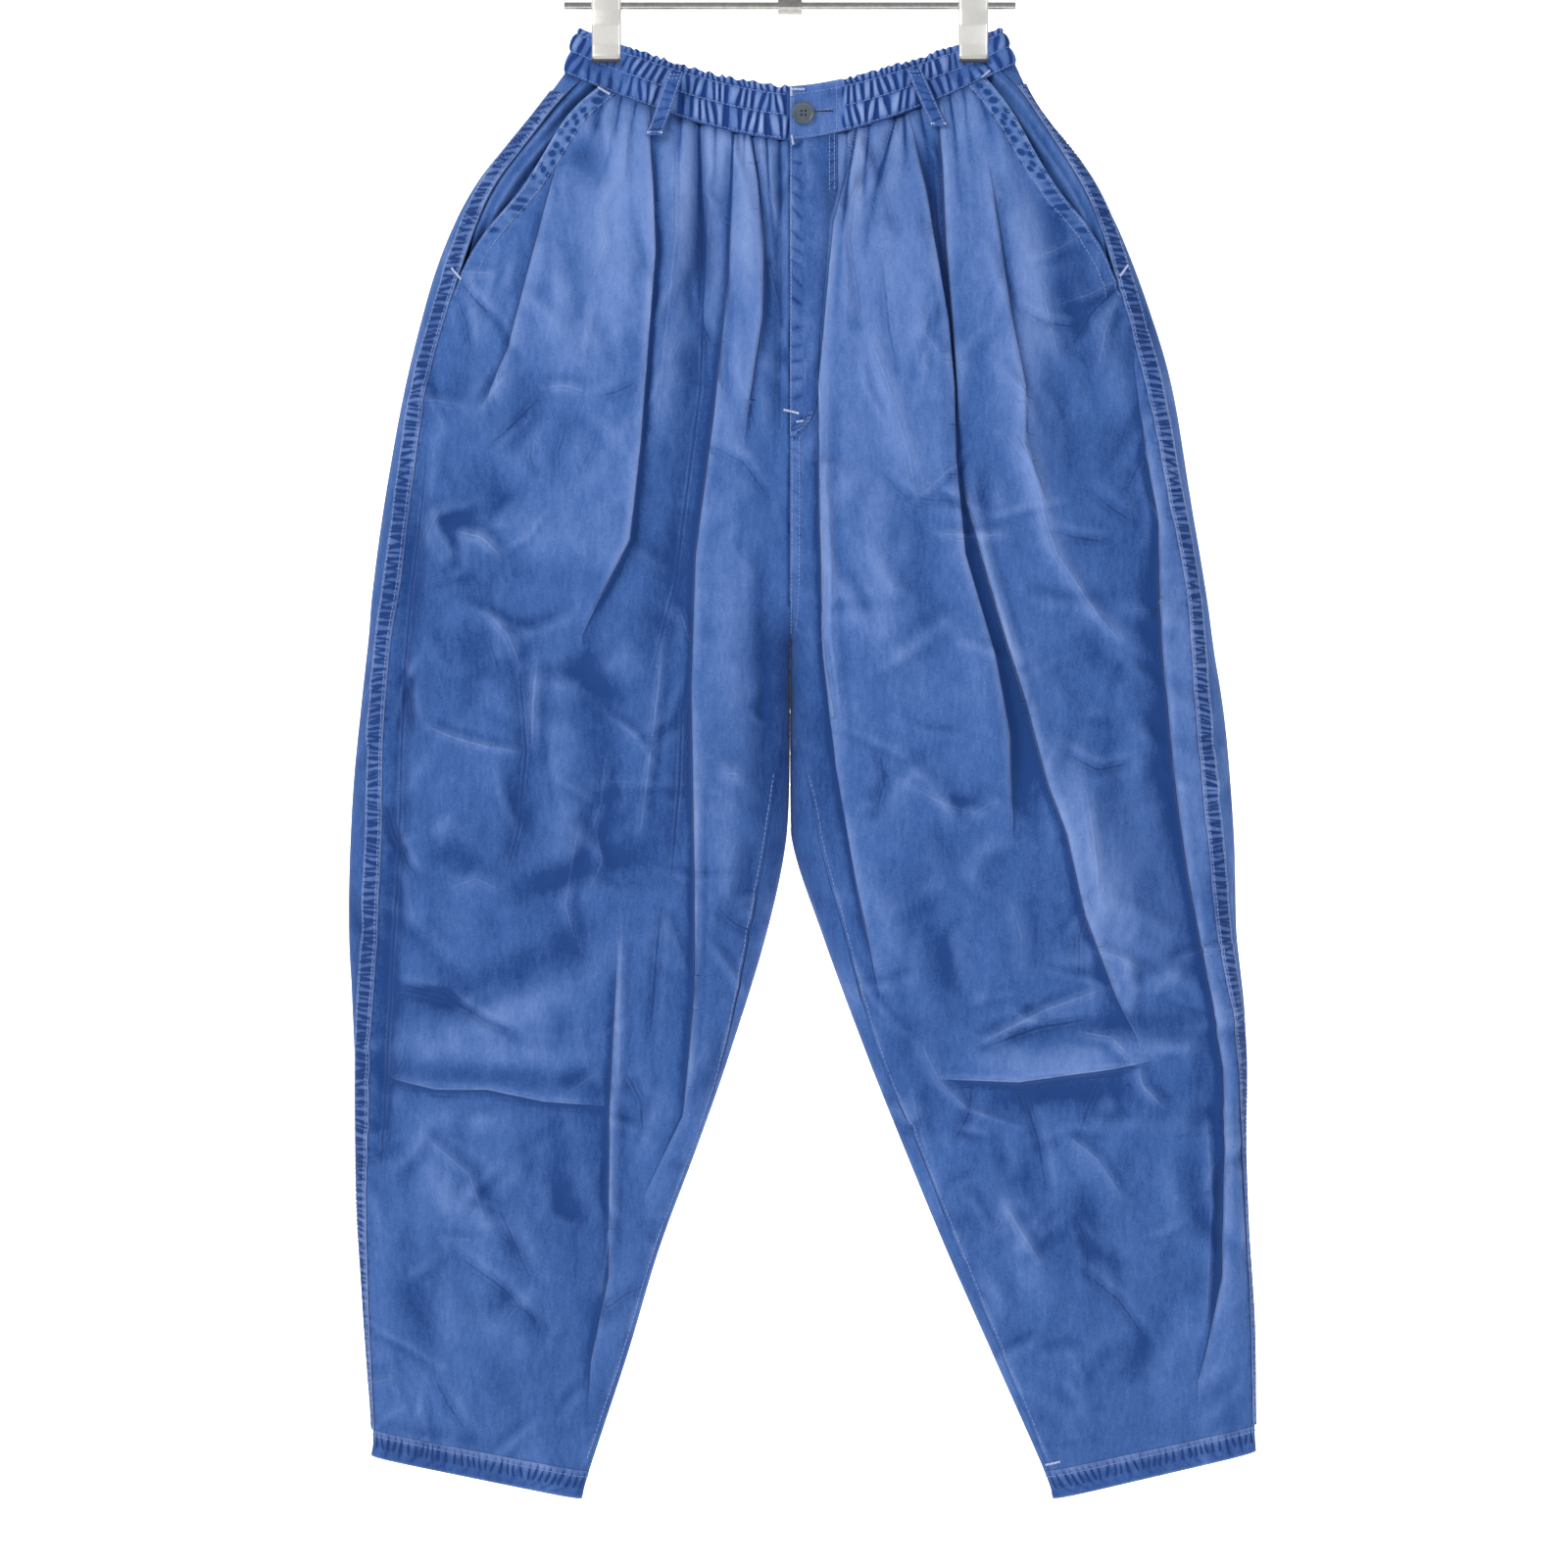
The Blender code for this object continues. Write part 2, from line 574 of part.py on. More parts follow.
def clip_zone(x):
    """One under the clips, falling to zero away from them."""
    return np.exp(-(((np.abs(x) - CLIP_X) / CLIP_PINCH_REACH) ** CLIP_PINCH_POWER))


class BandRing(Ring):
    """The waistband's oval at one height, from its top edge at 0 to its seam at 1."""

    def __init__(self, height):
        waist = SECTIONS[0]
        top_width = BAND_TOP_HALF_WIDTH
        self.height = height
        self.left = top_width + (waist.left_out - top_width) * height
        self.right = top_width + (waist.right_out - top_width) * height
        self.depth = BAND_TOP_DEPTH + (BAND_SEAM_DEPTH - BAND_TOP_DEPTH) * height
        self.set_oval(-self.right, self.left, self.depth, samples=2881)
        hold = clip_zone(self.x) * (1 - smoothstep(*CLIP_HOLD_HEIGHTS, height))
        plain = np.abs(self.y)
        pinched = np.minimum(plain, CLIP_PINCH_HALF_DEPTH)
        self.y = np.sign(self.y) * (plain + (pinched - plain) * hold)
        self.measure()

    def drop_at(self, x):
        """A level line of the band: it sags towards the centre like the waist seam."""
        waist = SECTIONS[0]
        left = x > 0
        sag = (np.abs(x) / np.where(left, self.left, self.right)) ** BAND_SAG_POWER
        lift = np.where(left, waist.left_lift, 0)
        top = BAND_TOP_DROP_MID + (BAND_TOP_DROP_SIDE - BAND_TOP_DROP_MID) * sag
        seam = waist.mid_drop + (waist.side_drop - lift - waist.mid_drop) * sag
        return top + (seam - SEAM_GAP - top) * self.height

    def points(self, arcs, moved_out):
        x, y, out_x, out_y = self.place(arcs)
        x = x + out_x * moved_out
        return np.stack([x, y + out_y * moved_out, -self.drop_at(x)], axis=-1)


# The levels of the waistband: the share of its height, the ruffle's height there, and how far
# the elastic channel between two rows of stitching puffs out.
Level = namedtuple("Level", "height ruffle puff")
BAND_LEVELS = [
    Level(0.0, 1.7, 0.0),
    Level(0.27, 1.2, 0.9),
    Level(0.52, 0.8, 0.0),
    Level(0.77, 1.3, 0.9),
    Level(1.0, 0.9, 0.0),
]


def make_waistband(cloth):
    """An elastic casing in two channels, ruffled all round, whose ends overlap at the front.

    The strip starts at the tab's end on the centre line, runs round by the left side, the
    back and the right side, and ends under the tab.
    """
    tab = np.linspace(0, TAB_LENGTH, 4)
    tail = TAB_LENGTH * np.array([0.5, 1.0])
    ramp_end = TAB_LENGTH + TAB_RAMP
    outer, inner = [], []
    for level in BAND_LEVELS:
        ring = BandRing(level.height)
        start = ring.front_arc(0.0)
        ruffled = np.linspace(ramp_end, ring.length, RUFFLE_COLUMNS)
        along = np.concatenate([tab, ruffled, ring.length + tail])
        j = np.arange(len(along))
        wavy = (j > len(tab)) & (j < len(tab) + RUFFLE_COLUMNS - 2)
        x = np.interp(np.mod(start - along, ring.length), ring.arc, ring.x)
        free = wavy * (1 - CLIP_PINCH_SHARE * clip_zone(x))
        wave = np.where(j % 2, 1, -1) * uneven(j, 0.9) * level.ruffle
        lift = (BAND_WALL + SEAM_GAP) * (1 - smoothstep(TAB_LENGTH, ramp_end, along))
        moved = lift + (wave + level.puff) * free
        outer.append(ring.points(start - along, moved))
        inner.append(ring.points(start - along, moved - BAND_WALL))
    sheet_object("waistband", np.array(outer), np.array(inner), cloth)


def cloth_tree(names):
    """A search tree over objects that are already made, in millimetres."""
    points, faces = [], []
    for name in names:
        mesh = bpy.data.objects[name].data
        first = len(points)
        points += [vertex.co / MM for vertex in mesh.vertices]
        faces += [[first + k for k in polygon.vertices] for polygon in mesh.polygons]
    return BVHTree.FromPolygons(points, faces)


def outermost(tree, face, x, drop, half_width, half_height):
    """How far the cloth stands out under a patch, seen from outside its side of the garment."""
    highest = 0.0
    for across in np.linspace(x - half_width, x + half_width, PROBES_ACROSS):
        for down in np.linspace(drop - half_height, drop + half_height, PROBES_DOWN):
            start = Vector((across, face * PROBE_START, -down))
            hit = tree.ray_cast(start, Vector((0, -face, 0)))[0]
            if hit is not None:
                highest = max(highest, face * hit.y)
    return highest


def make_belt_loops(cloth):
    """Flat loops that lie over the ruffled band and are sewn down on the panel below it."""
    tree = cloth_tree(["waistband", "front_left", "front_right", "back_left", "back_right"])
    for place in LOOPS:
        top = BandRing(0.0).drop_at(np.array([place.top_x]))[0] + LOOP_TOP_INSET
        bottom = BandRing(1.0).drop_at(np.array([place.bottom_x]))[0] + LOOP_TAIL
        pitch = (bottom - top) / (LOOP_ROWS - 1)
        grids = ([], [])
        for share in np.linspace(0, 1, LOOP_ROWS):
            middle = place.top_x + (place.bottom_x - place.top_x) * share
            drop = top + (bottom - top) * share
            under = outermost(tree, place.face, middle, drop, LOOP_WIDTH / 2 + LOOP_PROBE_MARGIN, pitch)
            x = middle + LOOP_WIDTH * np.array([-0.5, 0.0, 0.5])
            for grid, lift in zip(grids, (SEAM_GAP + LOOP_WALL, SEAM_GAP)):
                y = np.full(3, place.face * (under + lift))
                grid.append(np.stack([x, y, np.full(3, -drop)], axis=-1))
        sheet_object(place.name, np.array(grids[0]), np.array(grids[1]), cloth)


def make_button(plastic):
    """A round four-hole trouser button with a raised rim, facing -Y."""
    cloth_y = BandRing(BUTTON_LEVEL).half_depth_at(BUTTON_X)
    face_y = -(cloth_y + BAND_WALL + 2 * SEAM_GAP)
    points, faces = [], []
    for radius, out in BUTTON_PROFILE:
        for k in range(BUTTON_SIDES):
            angle = 2 * math.pi * k / BUTTON_SIDES
            points.append((radius * math.cos(angle), -out, radius * math.sin(angle)))
    for i in range(len(BUTTON_PROFILE) - 1):
        for k in range(BUTTON_SIDES):
            a, b = i * BUTTON_SIDES + k, i * BUTTON_SIDES + (k + 1) % BUTTON_SIDES
            faces.append((a, b, b + BUTTON_SIDES, a + BUTTON_SIDES))
    faces.append(tuple(range(BUTTON_SIDES)))
    faces.append(tuple(range(len(points) - BUTTON_SIDES, len(points))))
    button = add_object("waist_button", closed_mesh("waist_button", points, faces), plastic)
    button.location = (BUTTON_X * MM, face_y * MM, -BUTTON_DROP * MM)
    for k in range(4):
        angle = math.radians(45 + 90 * k)
        across = BUTTON_X + BUTTON_HOLE_OFFSET * math.cos(angle)
        up = BUTTON_HOLE_OFFSET * math.sin(angle) - BUTTON_DROP
        cutter = cylinder_object(
            f"button_hole_{k}", BUTTON_HOLE_RADIUS, HOLE_CUTTER_LENGTH, 8, "Y", plastic
        )
        cutter.location = (across * MM, face_y * MM, up * MM)
        cutter.hide_render = True
        cutter.display_type = "WIRE"
        cut = button.modifiers.new(f"hole_{k}", "BOOLEAN")
        cut.operation = "DIFFERENCE"
        cut.solver = "EXACT"
        cut.object = cutter


def cylinder_object(name, radius, length, sides, axis, material, bore=None):
    """A cylinder or, with a bore, a sleeve, centred on its own origin along X or Y."""
    points, faces = [], []
    radii = [radius] if bore is None else [radius, bore]
    for r in radii:
        for end in (-0.5, 0.5):
            for k in range(sides):
                angle = 2 * math.pi * k / sides
                across, up = r * math.cos(angle), r * math.sin(angle)
                along = end * length
                points.append((along, across, up) if axis == "X" else (across, along, up))
    for layer in range(len(radii)):
        for k in range(sides):
            a = layer * 2 * sides + k
            b = layer * 2 * sides + (k + 1) % sides
            faces.append((a, b, b + sides, a + sides))
    if bore is None:
        faces += [tuple(range(sides)), tuple(range(sides, 2 * sides))]
    else:
        for end in (0, sides):
            for k in range(sides):
                a, b = end + k, end + (k + 1) % sides
                faces.append((a, b, b + 2 * sides, a + 2 * sides))
    return add_object(name, closed_mesh(name, points, faces), material)


def make_hook(steel):
    """The hook: a straight neck on the socket, then wire bent round an open circle."""
    neck_foot = -(ROD_DROP - SOCKET_RADIUS - SEAM_GAP)
    centre = WIRE_RADIUS - HOOK_RADIUS
    low = centre - HOOK_RADIUS
    path = [(0, neck_foot), (0, low - HOOK_NECK_BEND), (HOOK_SHOULDER_X, low - HOOK_SHOULDER_RISE)]
    for angle in np.linspace(HOOK_START_ANGLE, HOOK_END_ANGLE, HOOK_STEPS):
        path.append((HOOK_RADIUS * math.cos(angle), centre + HOOK_RADIUS * math.sin(angle)))
    curve = bpy.data.curves.new("hanger_hook", "CURVE")
    curve.dimensions = "3D"
    curve.bevel_depth = WIRE_RADIUS * MM
    curve.bevel_resolution = 2
    curve.use_fill_caps = True
    spline = curve.splines.new("POLY")
    spline.points.add(len(path) - 1)
    for point, (x, z) in zip(spline.points, path):
        point.co = (x * MM, 0, z * MM, 1)
    hook = bpy.data.objects.new("hanger_hook", curve)
    curve.materials.append(steel)
    bpy.context.scene.collection.objects.link(hook)


def make_clip(name, x, steel):
    """A sprung clip: two bent plates that pinch the band, and a barrel on the rod."""
    barrel = cylinder_object(
        f"{name}_barrel", BARREL_RADIUS, BARREL_LENGTH, 16, "X", steel, ROD_RADIUS + SEAM_GAP
    )
    barrel.location = (x * MM, 0, -ROD_DROP * MM)
    across = x + CLIP_WIDTH * np.array([-0.5, 0.5])
    for face, word in ((-1, "front"), (1, "back")):
        grids = []
        for thick in (CLIP_PLATE, 0.0):
            rows = [
                np.stack([across, np.full(2, face * (out + thick)), np.full(2, -drop)], axis=-1)
                for out, drop in CLIP_PROFILE
            ]
            grids.append(np.array(rows))
        sheet_object(f"{name}_{word}", grids[0], grids[1], steel)


def make_hanger(steel):
    rod = cylinder_object("hanger_rod", ROD_RADIUS, 2 * ROD_HALF_LENGTH, 16, "X", steel)
    bore = ROD_RADIUS + SEAM_GAP
    socket = cylinder_object("hook_socket", SOCKET_RADIUS, SOCKET_LENGTH, 20, "X", steel, bore)
    for piece in (rod, socket):
        piece.location = (0, 0, -ROD_DROP * MM)
    make_hook(steel)
    make_clip("clip_right", -CLIP_X, steel)
    make_clip("clip_left", CLIP_X, steel)


def main():
    clear_scene()
    twill = make_material("washed_blue_twill", (0.098, 0.205, 0.475), 0.85)
    darker = make_material("blue_twill_seams", (0.062, 0.15, 0.40), 0.85)
    plastic = make_material("grey_blue_button", (0.075, 0.105, 0.135), 0.4)
    steel = make_material("plated_steel", (0.72, 0.72, 0.70), 0.25, 1.0)
    make_panels(twill)
    make_waistband(twill)
    make_side_seams(darker)
    make_fly(darker)
    make_pocket_facings(twill)
    make_hems(darker)
    make_belt_loops(darker)
    make_button(plastic)
    make_hanger(steel)


main()
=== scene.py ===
# %% [markdown]
# # Balloon trousers of washed cotton twill on a clip hanger
# The trousers hang flat from two sprung clips: full at the hips, narrow at the hems, with a
# ruffled elastic waistband. The solids hold every size. This script dresses them: each panel
# becomes a thin shell of cloth with its own folds, puckers, stitching and fading.

# %% Load the solids that hold the sizes
import math
from collections import namedtuple
from functools import partial

import bpy
import numpy as np
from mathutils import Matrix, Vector


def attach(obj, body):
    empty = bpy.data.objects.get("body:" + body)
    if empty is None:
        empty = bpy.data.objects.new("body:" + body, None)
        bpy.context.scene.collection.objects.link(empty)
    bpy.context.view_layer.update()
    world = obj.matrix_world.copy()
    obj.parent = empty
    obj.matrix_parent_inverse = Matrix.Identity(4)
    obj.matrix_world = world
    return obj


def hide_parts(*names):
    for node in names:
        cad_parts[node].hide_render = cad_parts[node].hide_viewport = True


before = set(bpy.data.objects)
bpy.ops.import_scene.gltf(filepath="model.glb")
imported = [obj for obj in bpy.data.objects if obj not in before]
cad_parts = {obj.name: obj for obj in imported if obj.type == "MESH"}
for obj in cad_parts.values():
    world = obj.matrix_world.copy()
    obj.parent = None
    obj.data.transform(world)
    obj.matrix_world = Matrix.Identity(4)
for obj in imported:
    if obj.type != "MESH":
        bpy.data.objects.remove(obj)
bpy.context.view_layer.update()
MM = 0.001

# %% [markdown]
# ## Camera
# The photo looks straight at the front from a few metres away. A long lens keeps the legs
# free of distortion. Lens, distance and sensor together give the width that the frame covers.

# %% Camera at the photo's angle
VIEW_CENTRE = (-4.0, -619.0)
VIEW_WIDTH = 1056.0
VIEW_DISTANCE = 2750.0
SENSOR = 36.0

camera_data = bpy.data.cameras.new("front_view")
camera_data.sensor_width = SENSOR
camera_data.lens = SENSOR * VIEW_DISTANCE / VIEW_WIDTH
camera_data.clip_end = 20
camera = bpy.data.objects.new("front_view", camera_data)
camera.location = (VIEW_CENTRE[0] * MM, -VIEW_DISTANCE * MM, VIEW_CENTRE[1] * MM)
camera.rotation_euler = (math.radians(90), 0, 0)
bpy.context.scene.collection.objects.link(camera)
bpy.context.scene.camera = camera
print(f"lens {camera_data.lens:.1f} mm covers {VIEW_WIDTH:.0f} mm at {VIEW_DISTANCE:.0f} mm")

# %% [markdown]
# ## Wall and light
# The photograph was cut out on plain white, so a white wall and floor stand well behind the
# cloth, with room between for a camera that looks at the back. They glow a little, as a paper
# sweep does that has lamps of its own, and this keeps them an even white. One wide lamp lights
# from above and the left, a fainter one from the right, and the even surroundings do the rest,
# as in a bright room.

# %% Wall, lamps and surroundings
WALL_Y = 3900.0
WALL_HALF_WIDTH = 6000.0
FLOOR_DROP = 1900.0


def linear(hex_colour):
    """The linear colour of an sRGB hex string: the sRGB curve undone, channel by channel."""
    parts = [int(hex_colour[k : k + 2], 16) / 255 for k in (1, 3, 5)]
    return tuple(p / 12.92 if p <= 0.04045 else ((p + 0.055) / 1.055) ** 2.4 for p in parts)


def node(tree, kind, links=None, **settings):
    """Add a node, choose its settings, and give each input a value or another node's output."""
    made = tree.nodes.new(kind)
    for name, value in settings.items():
        setattr(made, name, value)
    for name, value in (links or {}).items():
        socket = made.inputs[name]
        if isinstance(value, bpy.types.NodeSocket):
            tree.links.new(value, socket)
        elif isinstance(value, str):
            socket.default_value = (*linear(value), 1.0)
        else:
            socket.default_value = value
    return made


def new_material(name):
    """A fresh material, its node tree and its one shader."""
    material = bpy.data.materials.new(name)
    material.use_nodes = True
    tree = material.node_tree
    return material, tree, tree.nodes["Principled BSDF"]


def plain_material(name, colour, rough):
    """A material of one even colour."""
    material, _, shader = new_material(name)
    shader.inputs["Base Color"].default_value = (*linear(colour), 1)
    shader.inputs["Roughness"].default_value = rough
    return material


def speckled(name, dark, light, scale, detail, rough, metal=0.0, squash=None, bump=None):
    """A material whose colour wavers between two tones by a fine noise."""
    material, tree, shader = new_material(name)
    where = node(tree, "ShaderNodeTexCoord").outputs["Object"]
    if squash:
        where = node(tree, "ShaderNodeMapping", {"Vector": where, "Scale": squash}).outputs[0]
    noise = {"Vector": where, "Scale": scale, "Detail": detail}
    grain = node(tree, "ShaderNodeTexNoise", noise).outputs[0]
    mix = node(tree, "ShaderNodeMix", {"Factor": grain, 6: dark, 7: light}, data_type="RGBA")
    tree.links.new(mix.outputs[2], shader.inputs["Base Color"])
    if bump:
        links = {"Height": grain, "Strength": bump[0], "Distance": bump[1]}
        relief_node = node(tree, "ShaderNodeBump", links)
        tree.links.new(relief_node.outputs["Normal"], shader.inputs["Normal"])
    shader.inputs["Metallic"].default_value = metal
    shader.inputs["Roughness"].default_value = rough
    return material


def put_in_scene(name, mesh, material):
    """An object that shows the mesh in the material, linked to the scene."""
    piece = bpy.data.objects.new(name, mesh)
    bpy.context.scene.collection.objects.link(piece)
    mesh.materials.append(material)
    return piece


def area_lamp(name, place, aim, size, power, colour):
    """A rectangular lamp at a place in metres, turned so that it shines at its aim."""
    lamp_data = bpy.data.lights.new(name, "AREA")
    lamp_data.shape = "RECTANGLE"
    lamp_data.size, lamp_data.size_y = size
    lamp_data.energy = power
    lamp_data.color = linear(colour)
    lamp = bpy.data.objects.new(name, lamp_data)
    lamp.location = place
    lamp.rotation_euler = (Vector(aim) - Vector(place)).to_track_quat("-Z", "Y").to_euler()
    bpy.context.scene.collection.objects.link(lamp)


wall_paint, _, wall_shader = new_material("matt_white_wall_paint")
wall_shader.inputs["Base Color"].default_value = (0.93, 0.93, 0.925, 1)
wall_shader.inputs["Roughness"].default_value = 0.9
wall_shader.inputs["Emission Color"].default_value = (1.0, 0.985, 0.96, 1)
wall_shader.inputs["Emission Strength"].default_value = 0.8

w, back, low = WALL_HALF_WIDTH * MM, WALL_Y * MM, -FLOOR_DROP * MM
wall_mesh = bpy.data.meshes.new("wall_and_floor")
wall_mesh.from_pydata(
    [(-w, back, 3), (w, back, 3), (w, back, low), (-w, back, low), (w, -w, low), (-w, -w, low)],
    [],
    [(3, 2, 1, 0), (5, 4, 2, 3)],
)
wall = put_in_scene("wall_and_floor", wall_mesh, wall_paint)

area_lamp("key", (-1.7, -1.7, 1.2), (0, 0, -0.5), (1.1, 1.1), 50, "#fffaf4")
area_lamp("fill", (1.9, -2.4, -0.2), (0, 0, -0.6), (1.8, 1.8), 15, "#f4f7ff")

world = bpy.data.worlds.new("even_room")
bpy.context.scene.world = world
world.use_nodes = True
world.node_tree.nodes["Background"].inputs["Color"].default_value = (0.96, 0.98, 1.0, 1)
world.node_tree.nodes["Background"].inputs["Strength"].default_value = 0.51
bpy.context.scene.view_settings.view_transform = "Standard"
print("wall", WALL_Y, "mm behind the hanger's middle plane")

# %% [markdown]
# ## The hung form
# Each leg is a stack of flattened ovals. A row of the table gives one oval: where its outer
# and inner edges lie and how deep it is. These are the sizes of the solids, so the cloth made
# here lies on them. Every length below is in millimetres, a drop is a distance below the
# hook, and left and right are the wearer's. The tables are plain text, read row by row.

# %% Sizes of the hung form
CLOTH_WALL, BAND_WALL, HEM_WALL, FACING_WALL, STRIP_WALL = 1.5, 2.0, 2.2, 1.2, 1.0
SEAM_GAP, CENTRE_GAP = 0.3, 0.02
TIP_ROUNDNESS = 0.45
TIP_FADE = 12.0
NORMAL_REACH = 1.5
BAND_SAG_POWER = 1.5
SEAM_STRIP_WIDTH = 12.5
FLY_WIDTH = 32.0


def table(kind, text):
    """Rows of one kind, one a line: words and numbers, and after a colon a path of pairs."""
    rows = []
    for line in text.strip().splitlines():
        head, _, path = line.partition(":")
        values = [word if word[0].isalpha() else float(word) for word in head.split()]
        points = [tuple(float(number) for number in pair.split(",")) for pair in path.split()]
        rows.append(kind(*values, *([points] if points else [])))
    return rows


Section = namedtuple(
    "Section",
    "name side_drop left_lift mid_drop depth right_out right_in left_out left_in",
)
SECTIONS = table(
    Section,
    """
waist 141 6 187 9 152 -152 152 -152
gathers 167 3 205 13 172 -172 167 -167
pocket 216 0 240 20 212 -212 206 -206
hip 269 0 281 26 237 -237 231 -231
seat 342 0 347 30 257 -257 255 -255
rise 421 0 422 32 272 -140 269 -140
fork 488 0 488 32 281 -35 280 -35
crotch 523 0 523 32 284 0 285 0
thigh 586 0 586 32 291 0.4 294 0.4
legs_part 652 0 653 31 296 2 299 0.6
above_knee 718 0 721 28 297 16 301 22
knee 784 0 802 24 294 41 307 52
shin 850 0 862 20 292 62 306 76
calf 916 0 932 16 290 88 308 105
low_calf 982 0 1002 13 286 109 312 136
hem_seam 1053 3 1081 9.5 281 135 313 171
hem_edge 1071 3 1100 9 282 140 314 177
""",
)
CROTCH_ROW, LEGS_PART_ROW = 7, 9
PARTING = 6  # the power by which the legs ease apart below the crotch
HEM_ROW = 15
SeamLine = namedtuple(
    "SeamLine",
    "right_seam right_edge right_inseam left_seam left_edge left_inseam",
)
SEAMS = table(
    SeamLine,
    """
140 128 0 142 131 0
161 150 0 163 149 0
197 179 0 196 178 0
218 216 0 216 214 0
240 240 0 235 235 0
253 253 0 249 249 0
262 262 0 261 261 0
267 267 0 264 264 0
272 272 5 269 269 5
273 273 13 276 276 18
276 276 12 283 283 15
281 281 4 295 295 8
283 283 2 301 301 10
284 284 2 305 305 8
282 282 2 309 309 6
279 279 2 311 311 3
279 279 2 312 312 3
""",
)
print(len(SECTIONS), "sections from the waist to the hems")

# %% [markdown]
# ## Reading the form as a surface
# A point of the cloth is found by two numbers: the row down the leg, and how far round the
# oval it lies. Everything is worked out for whole grids at once. The one trick is to read
# many curves in one call: each row's keys are shifted clear of the next row's.

# %% Curves, ovals and points on them
OVAL_STEPS = 720


def smoothstep(low, high, value):
    """Zero below low and one above high, with a smooth S between: 3t^2 - 2t^3."""
    share = np.clip((np.asarray(value, float) - low) / (high - low), 0, 1)
    return share * share * (3 - 2 * share)


def hump(distance, width):
    """One at zero and falling off to both sides: e to the minus (distance / width)^2."""
    return np.exp(-((distance / width) ** 2))


def curve_through(values, at):
    """A Catmull-Rom curve through evenly numbered values, read at fractional numbers."""
    values, at = np.asarray(values, float), np.asarray(at, float)
    low = np.minimum(np.floor(at).astype(int), len(values) - 2)
    part = at - low
    ends = [2 * values[0] - values[1]], values, [2 * values[-1] - values[-2]]
    before, start, end, after = (np.concatenate(ends)[low + k] for k in range(4))
    return (
        start
        + 0.5 * (end - before) * part
        + 0.5 * (2 * before - 5 * start + 4 * end - after) * part**2
        + 0.5 * (3 * start - before - 3 * end + after) * part**3
    )


def look_up(want, keys, values):
    """Read each row of values at want, where that row of keys rises from left to right."""
    want = np.clip(want, keys[:, :1], keys[:, -1:])
    shift = np.arange(len(keys))[:, None] * (np.ptp(keys) + 1.0)
    read = np.interp((want + shift).ravel(), (keys + shift).ravel(), values.ravel())
    return read.reshape(want.shape)


def oval(low_x, high_x, depth):
    """Flattened ovals, one a row: x follows |cos|^p and y follows sin of the same angle."""
    angle = np.linspace(0, 2 * math.pi, 2 * OVAL_STEPS + 1)
    cosine = np.cos(angle)
    half = ((high_x - low_x) / 2)[:, None]
    power = depth[:, None] / (TIP_ROUNDNESS * half)
    x = ((low_x + high_x) / 2)[:, None] + half * np.sign(cosine) * np.abs(cosine) ** power
    return x, -depth[:, None] * np.sin(angle)


def arc_lengths(x, y):
    """Distance walked along each row of points: the running sum of its steps."""
    step = np.hypot(np.diff(x, axis=1), np.diff(y, axis=1))
    return np.concatenate([np.zeros((len(x), 1)), np.cumsum(step, axis=1)], axis=1)


Leg = namedtuple("Leg", "sign above x y arc out inner side_drop mid_drop seam edge inseam")


def leg_rows(side, at):
    """Every oval of one leg at the fractional section numbers in at."""

    def read(name, table=SECTIONS):
        return curve_through([getattr(row, name) for row in table], at)

    above = at < CROTCH_ROW
    out, inner = read(side + "_out"), read(side + "_in")
    parted = np.clip((at - CROTCH_ROW) / (LEGS_PART_ROW - CROTCH_ROW), 0, 1) ** PARTING
    plain_inner = getattr(SECTIONS[LEGS_PART_ROW], side + "_in") * parted
    inner = np.where(above | (at > LEGS_PART_ROW), inner, plain_inner)
    side_drop = read("side_drop") - (read("left_lift") if side == "left" else 0)
    seam = read(side + "_seam", SEAMS)
    x, y = oval(inner, out, read("depth"))
    return Leg(
        1 if side == "left" else -1,
        above,
        x,
        y,
        arc_lengths(x, y),
        out,
        inner,
        side_drop,
        read("mid_drop"),
        seam,
        np.minimum(read(side + "_edge", SEAMS), seam),
        inner + np.maximum(read(side + "_inseam", SEAMS), 0),
    )


def front_arc(leg, x):
    """Arc length at which the front half of each row passes its x."""
    half = slice(0, OVAL_STEPS + 1)
    return look_up(-x[:, None], -leg.x[:, half], leg.arc[:, half])[:, 0]


def back_arc(leg, x):
    """Arc length at which the back half of each row passes its x."""
    half = slice(OVAL_STEPS, None)
    return look_up(x[:, None], leg.x[:, half], leg.arc[:, half])[:, 0]


def inner_end(leg, face):
    """Where a panel ends at the centre seam or at the inseam."""
    middle = np.full_like(leg.out, CENTRE_GAP / 2)
    seam_end = front_arc(leg, np.maximum(leg.inseam, middle))
    if face == "front":
        return np.where(leg.above, front_arc(leg, middle), seam_end)
    gap = SEAM_GAP * np.clip(leg.inseam - leg.inner, 0, 1)
    return np.where(leg.above, back_arc(leg, middle), seam_end + gap)


def drop_at(leg, x):
    """The hung level line: it sags towards the centre above the crotch, straight below it."""
    centre = np.maximum(leg.inner, 0)[:, None]
    share = np.maximum((x - centre) / (leg.out[:, None] - centre), 0)
    power = np.where(leg.above, BAND_SAG_POWER, 1.0)[:, None]
    side, middle = leg.side_drop[:, None], leg.mid_drop[:, None]
    return middle + (side - middle) * share**power


def place(ring, arcs):
    """The point at each arc length and the direction outwards, from a short chord there."""
    length = ring.arc[:, -1:]

    def at(distance):
        there = np.mod(distance, length)
        return look_up(there, ring.arc, ring.x), look_up(there, ring.arc, ring.y)

    x, y = at(arcs)
    ahead_x, ahead_y = at(arcs + NORMAL_REACH)
    behind_x, behind_y = at(arcs - NORMAL_REACH)
    along_x, along_y = ahead_x - behind_x, ahead_y - behind_y
    size = np.hypot(along_x, along_y)
    return x, y, -along_y / size, along_x / size


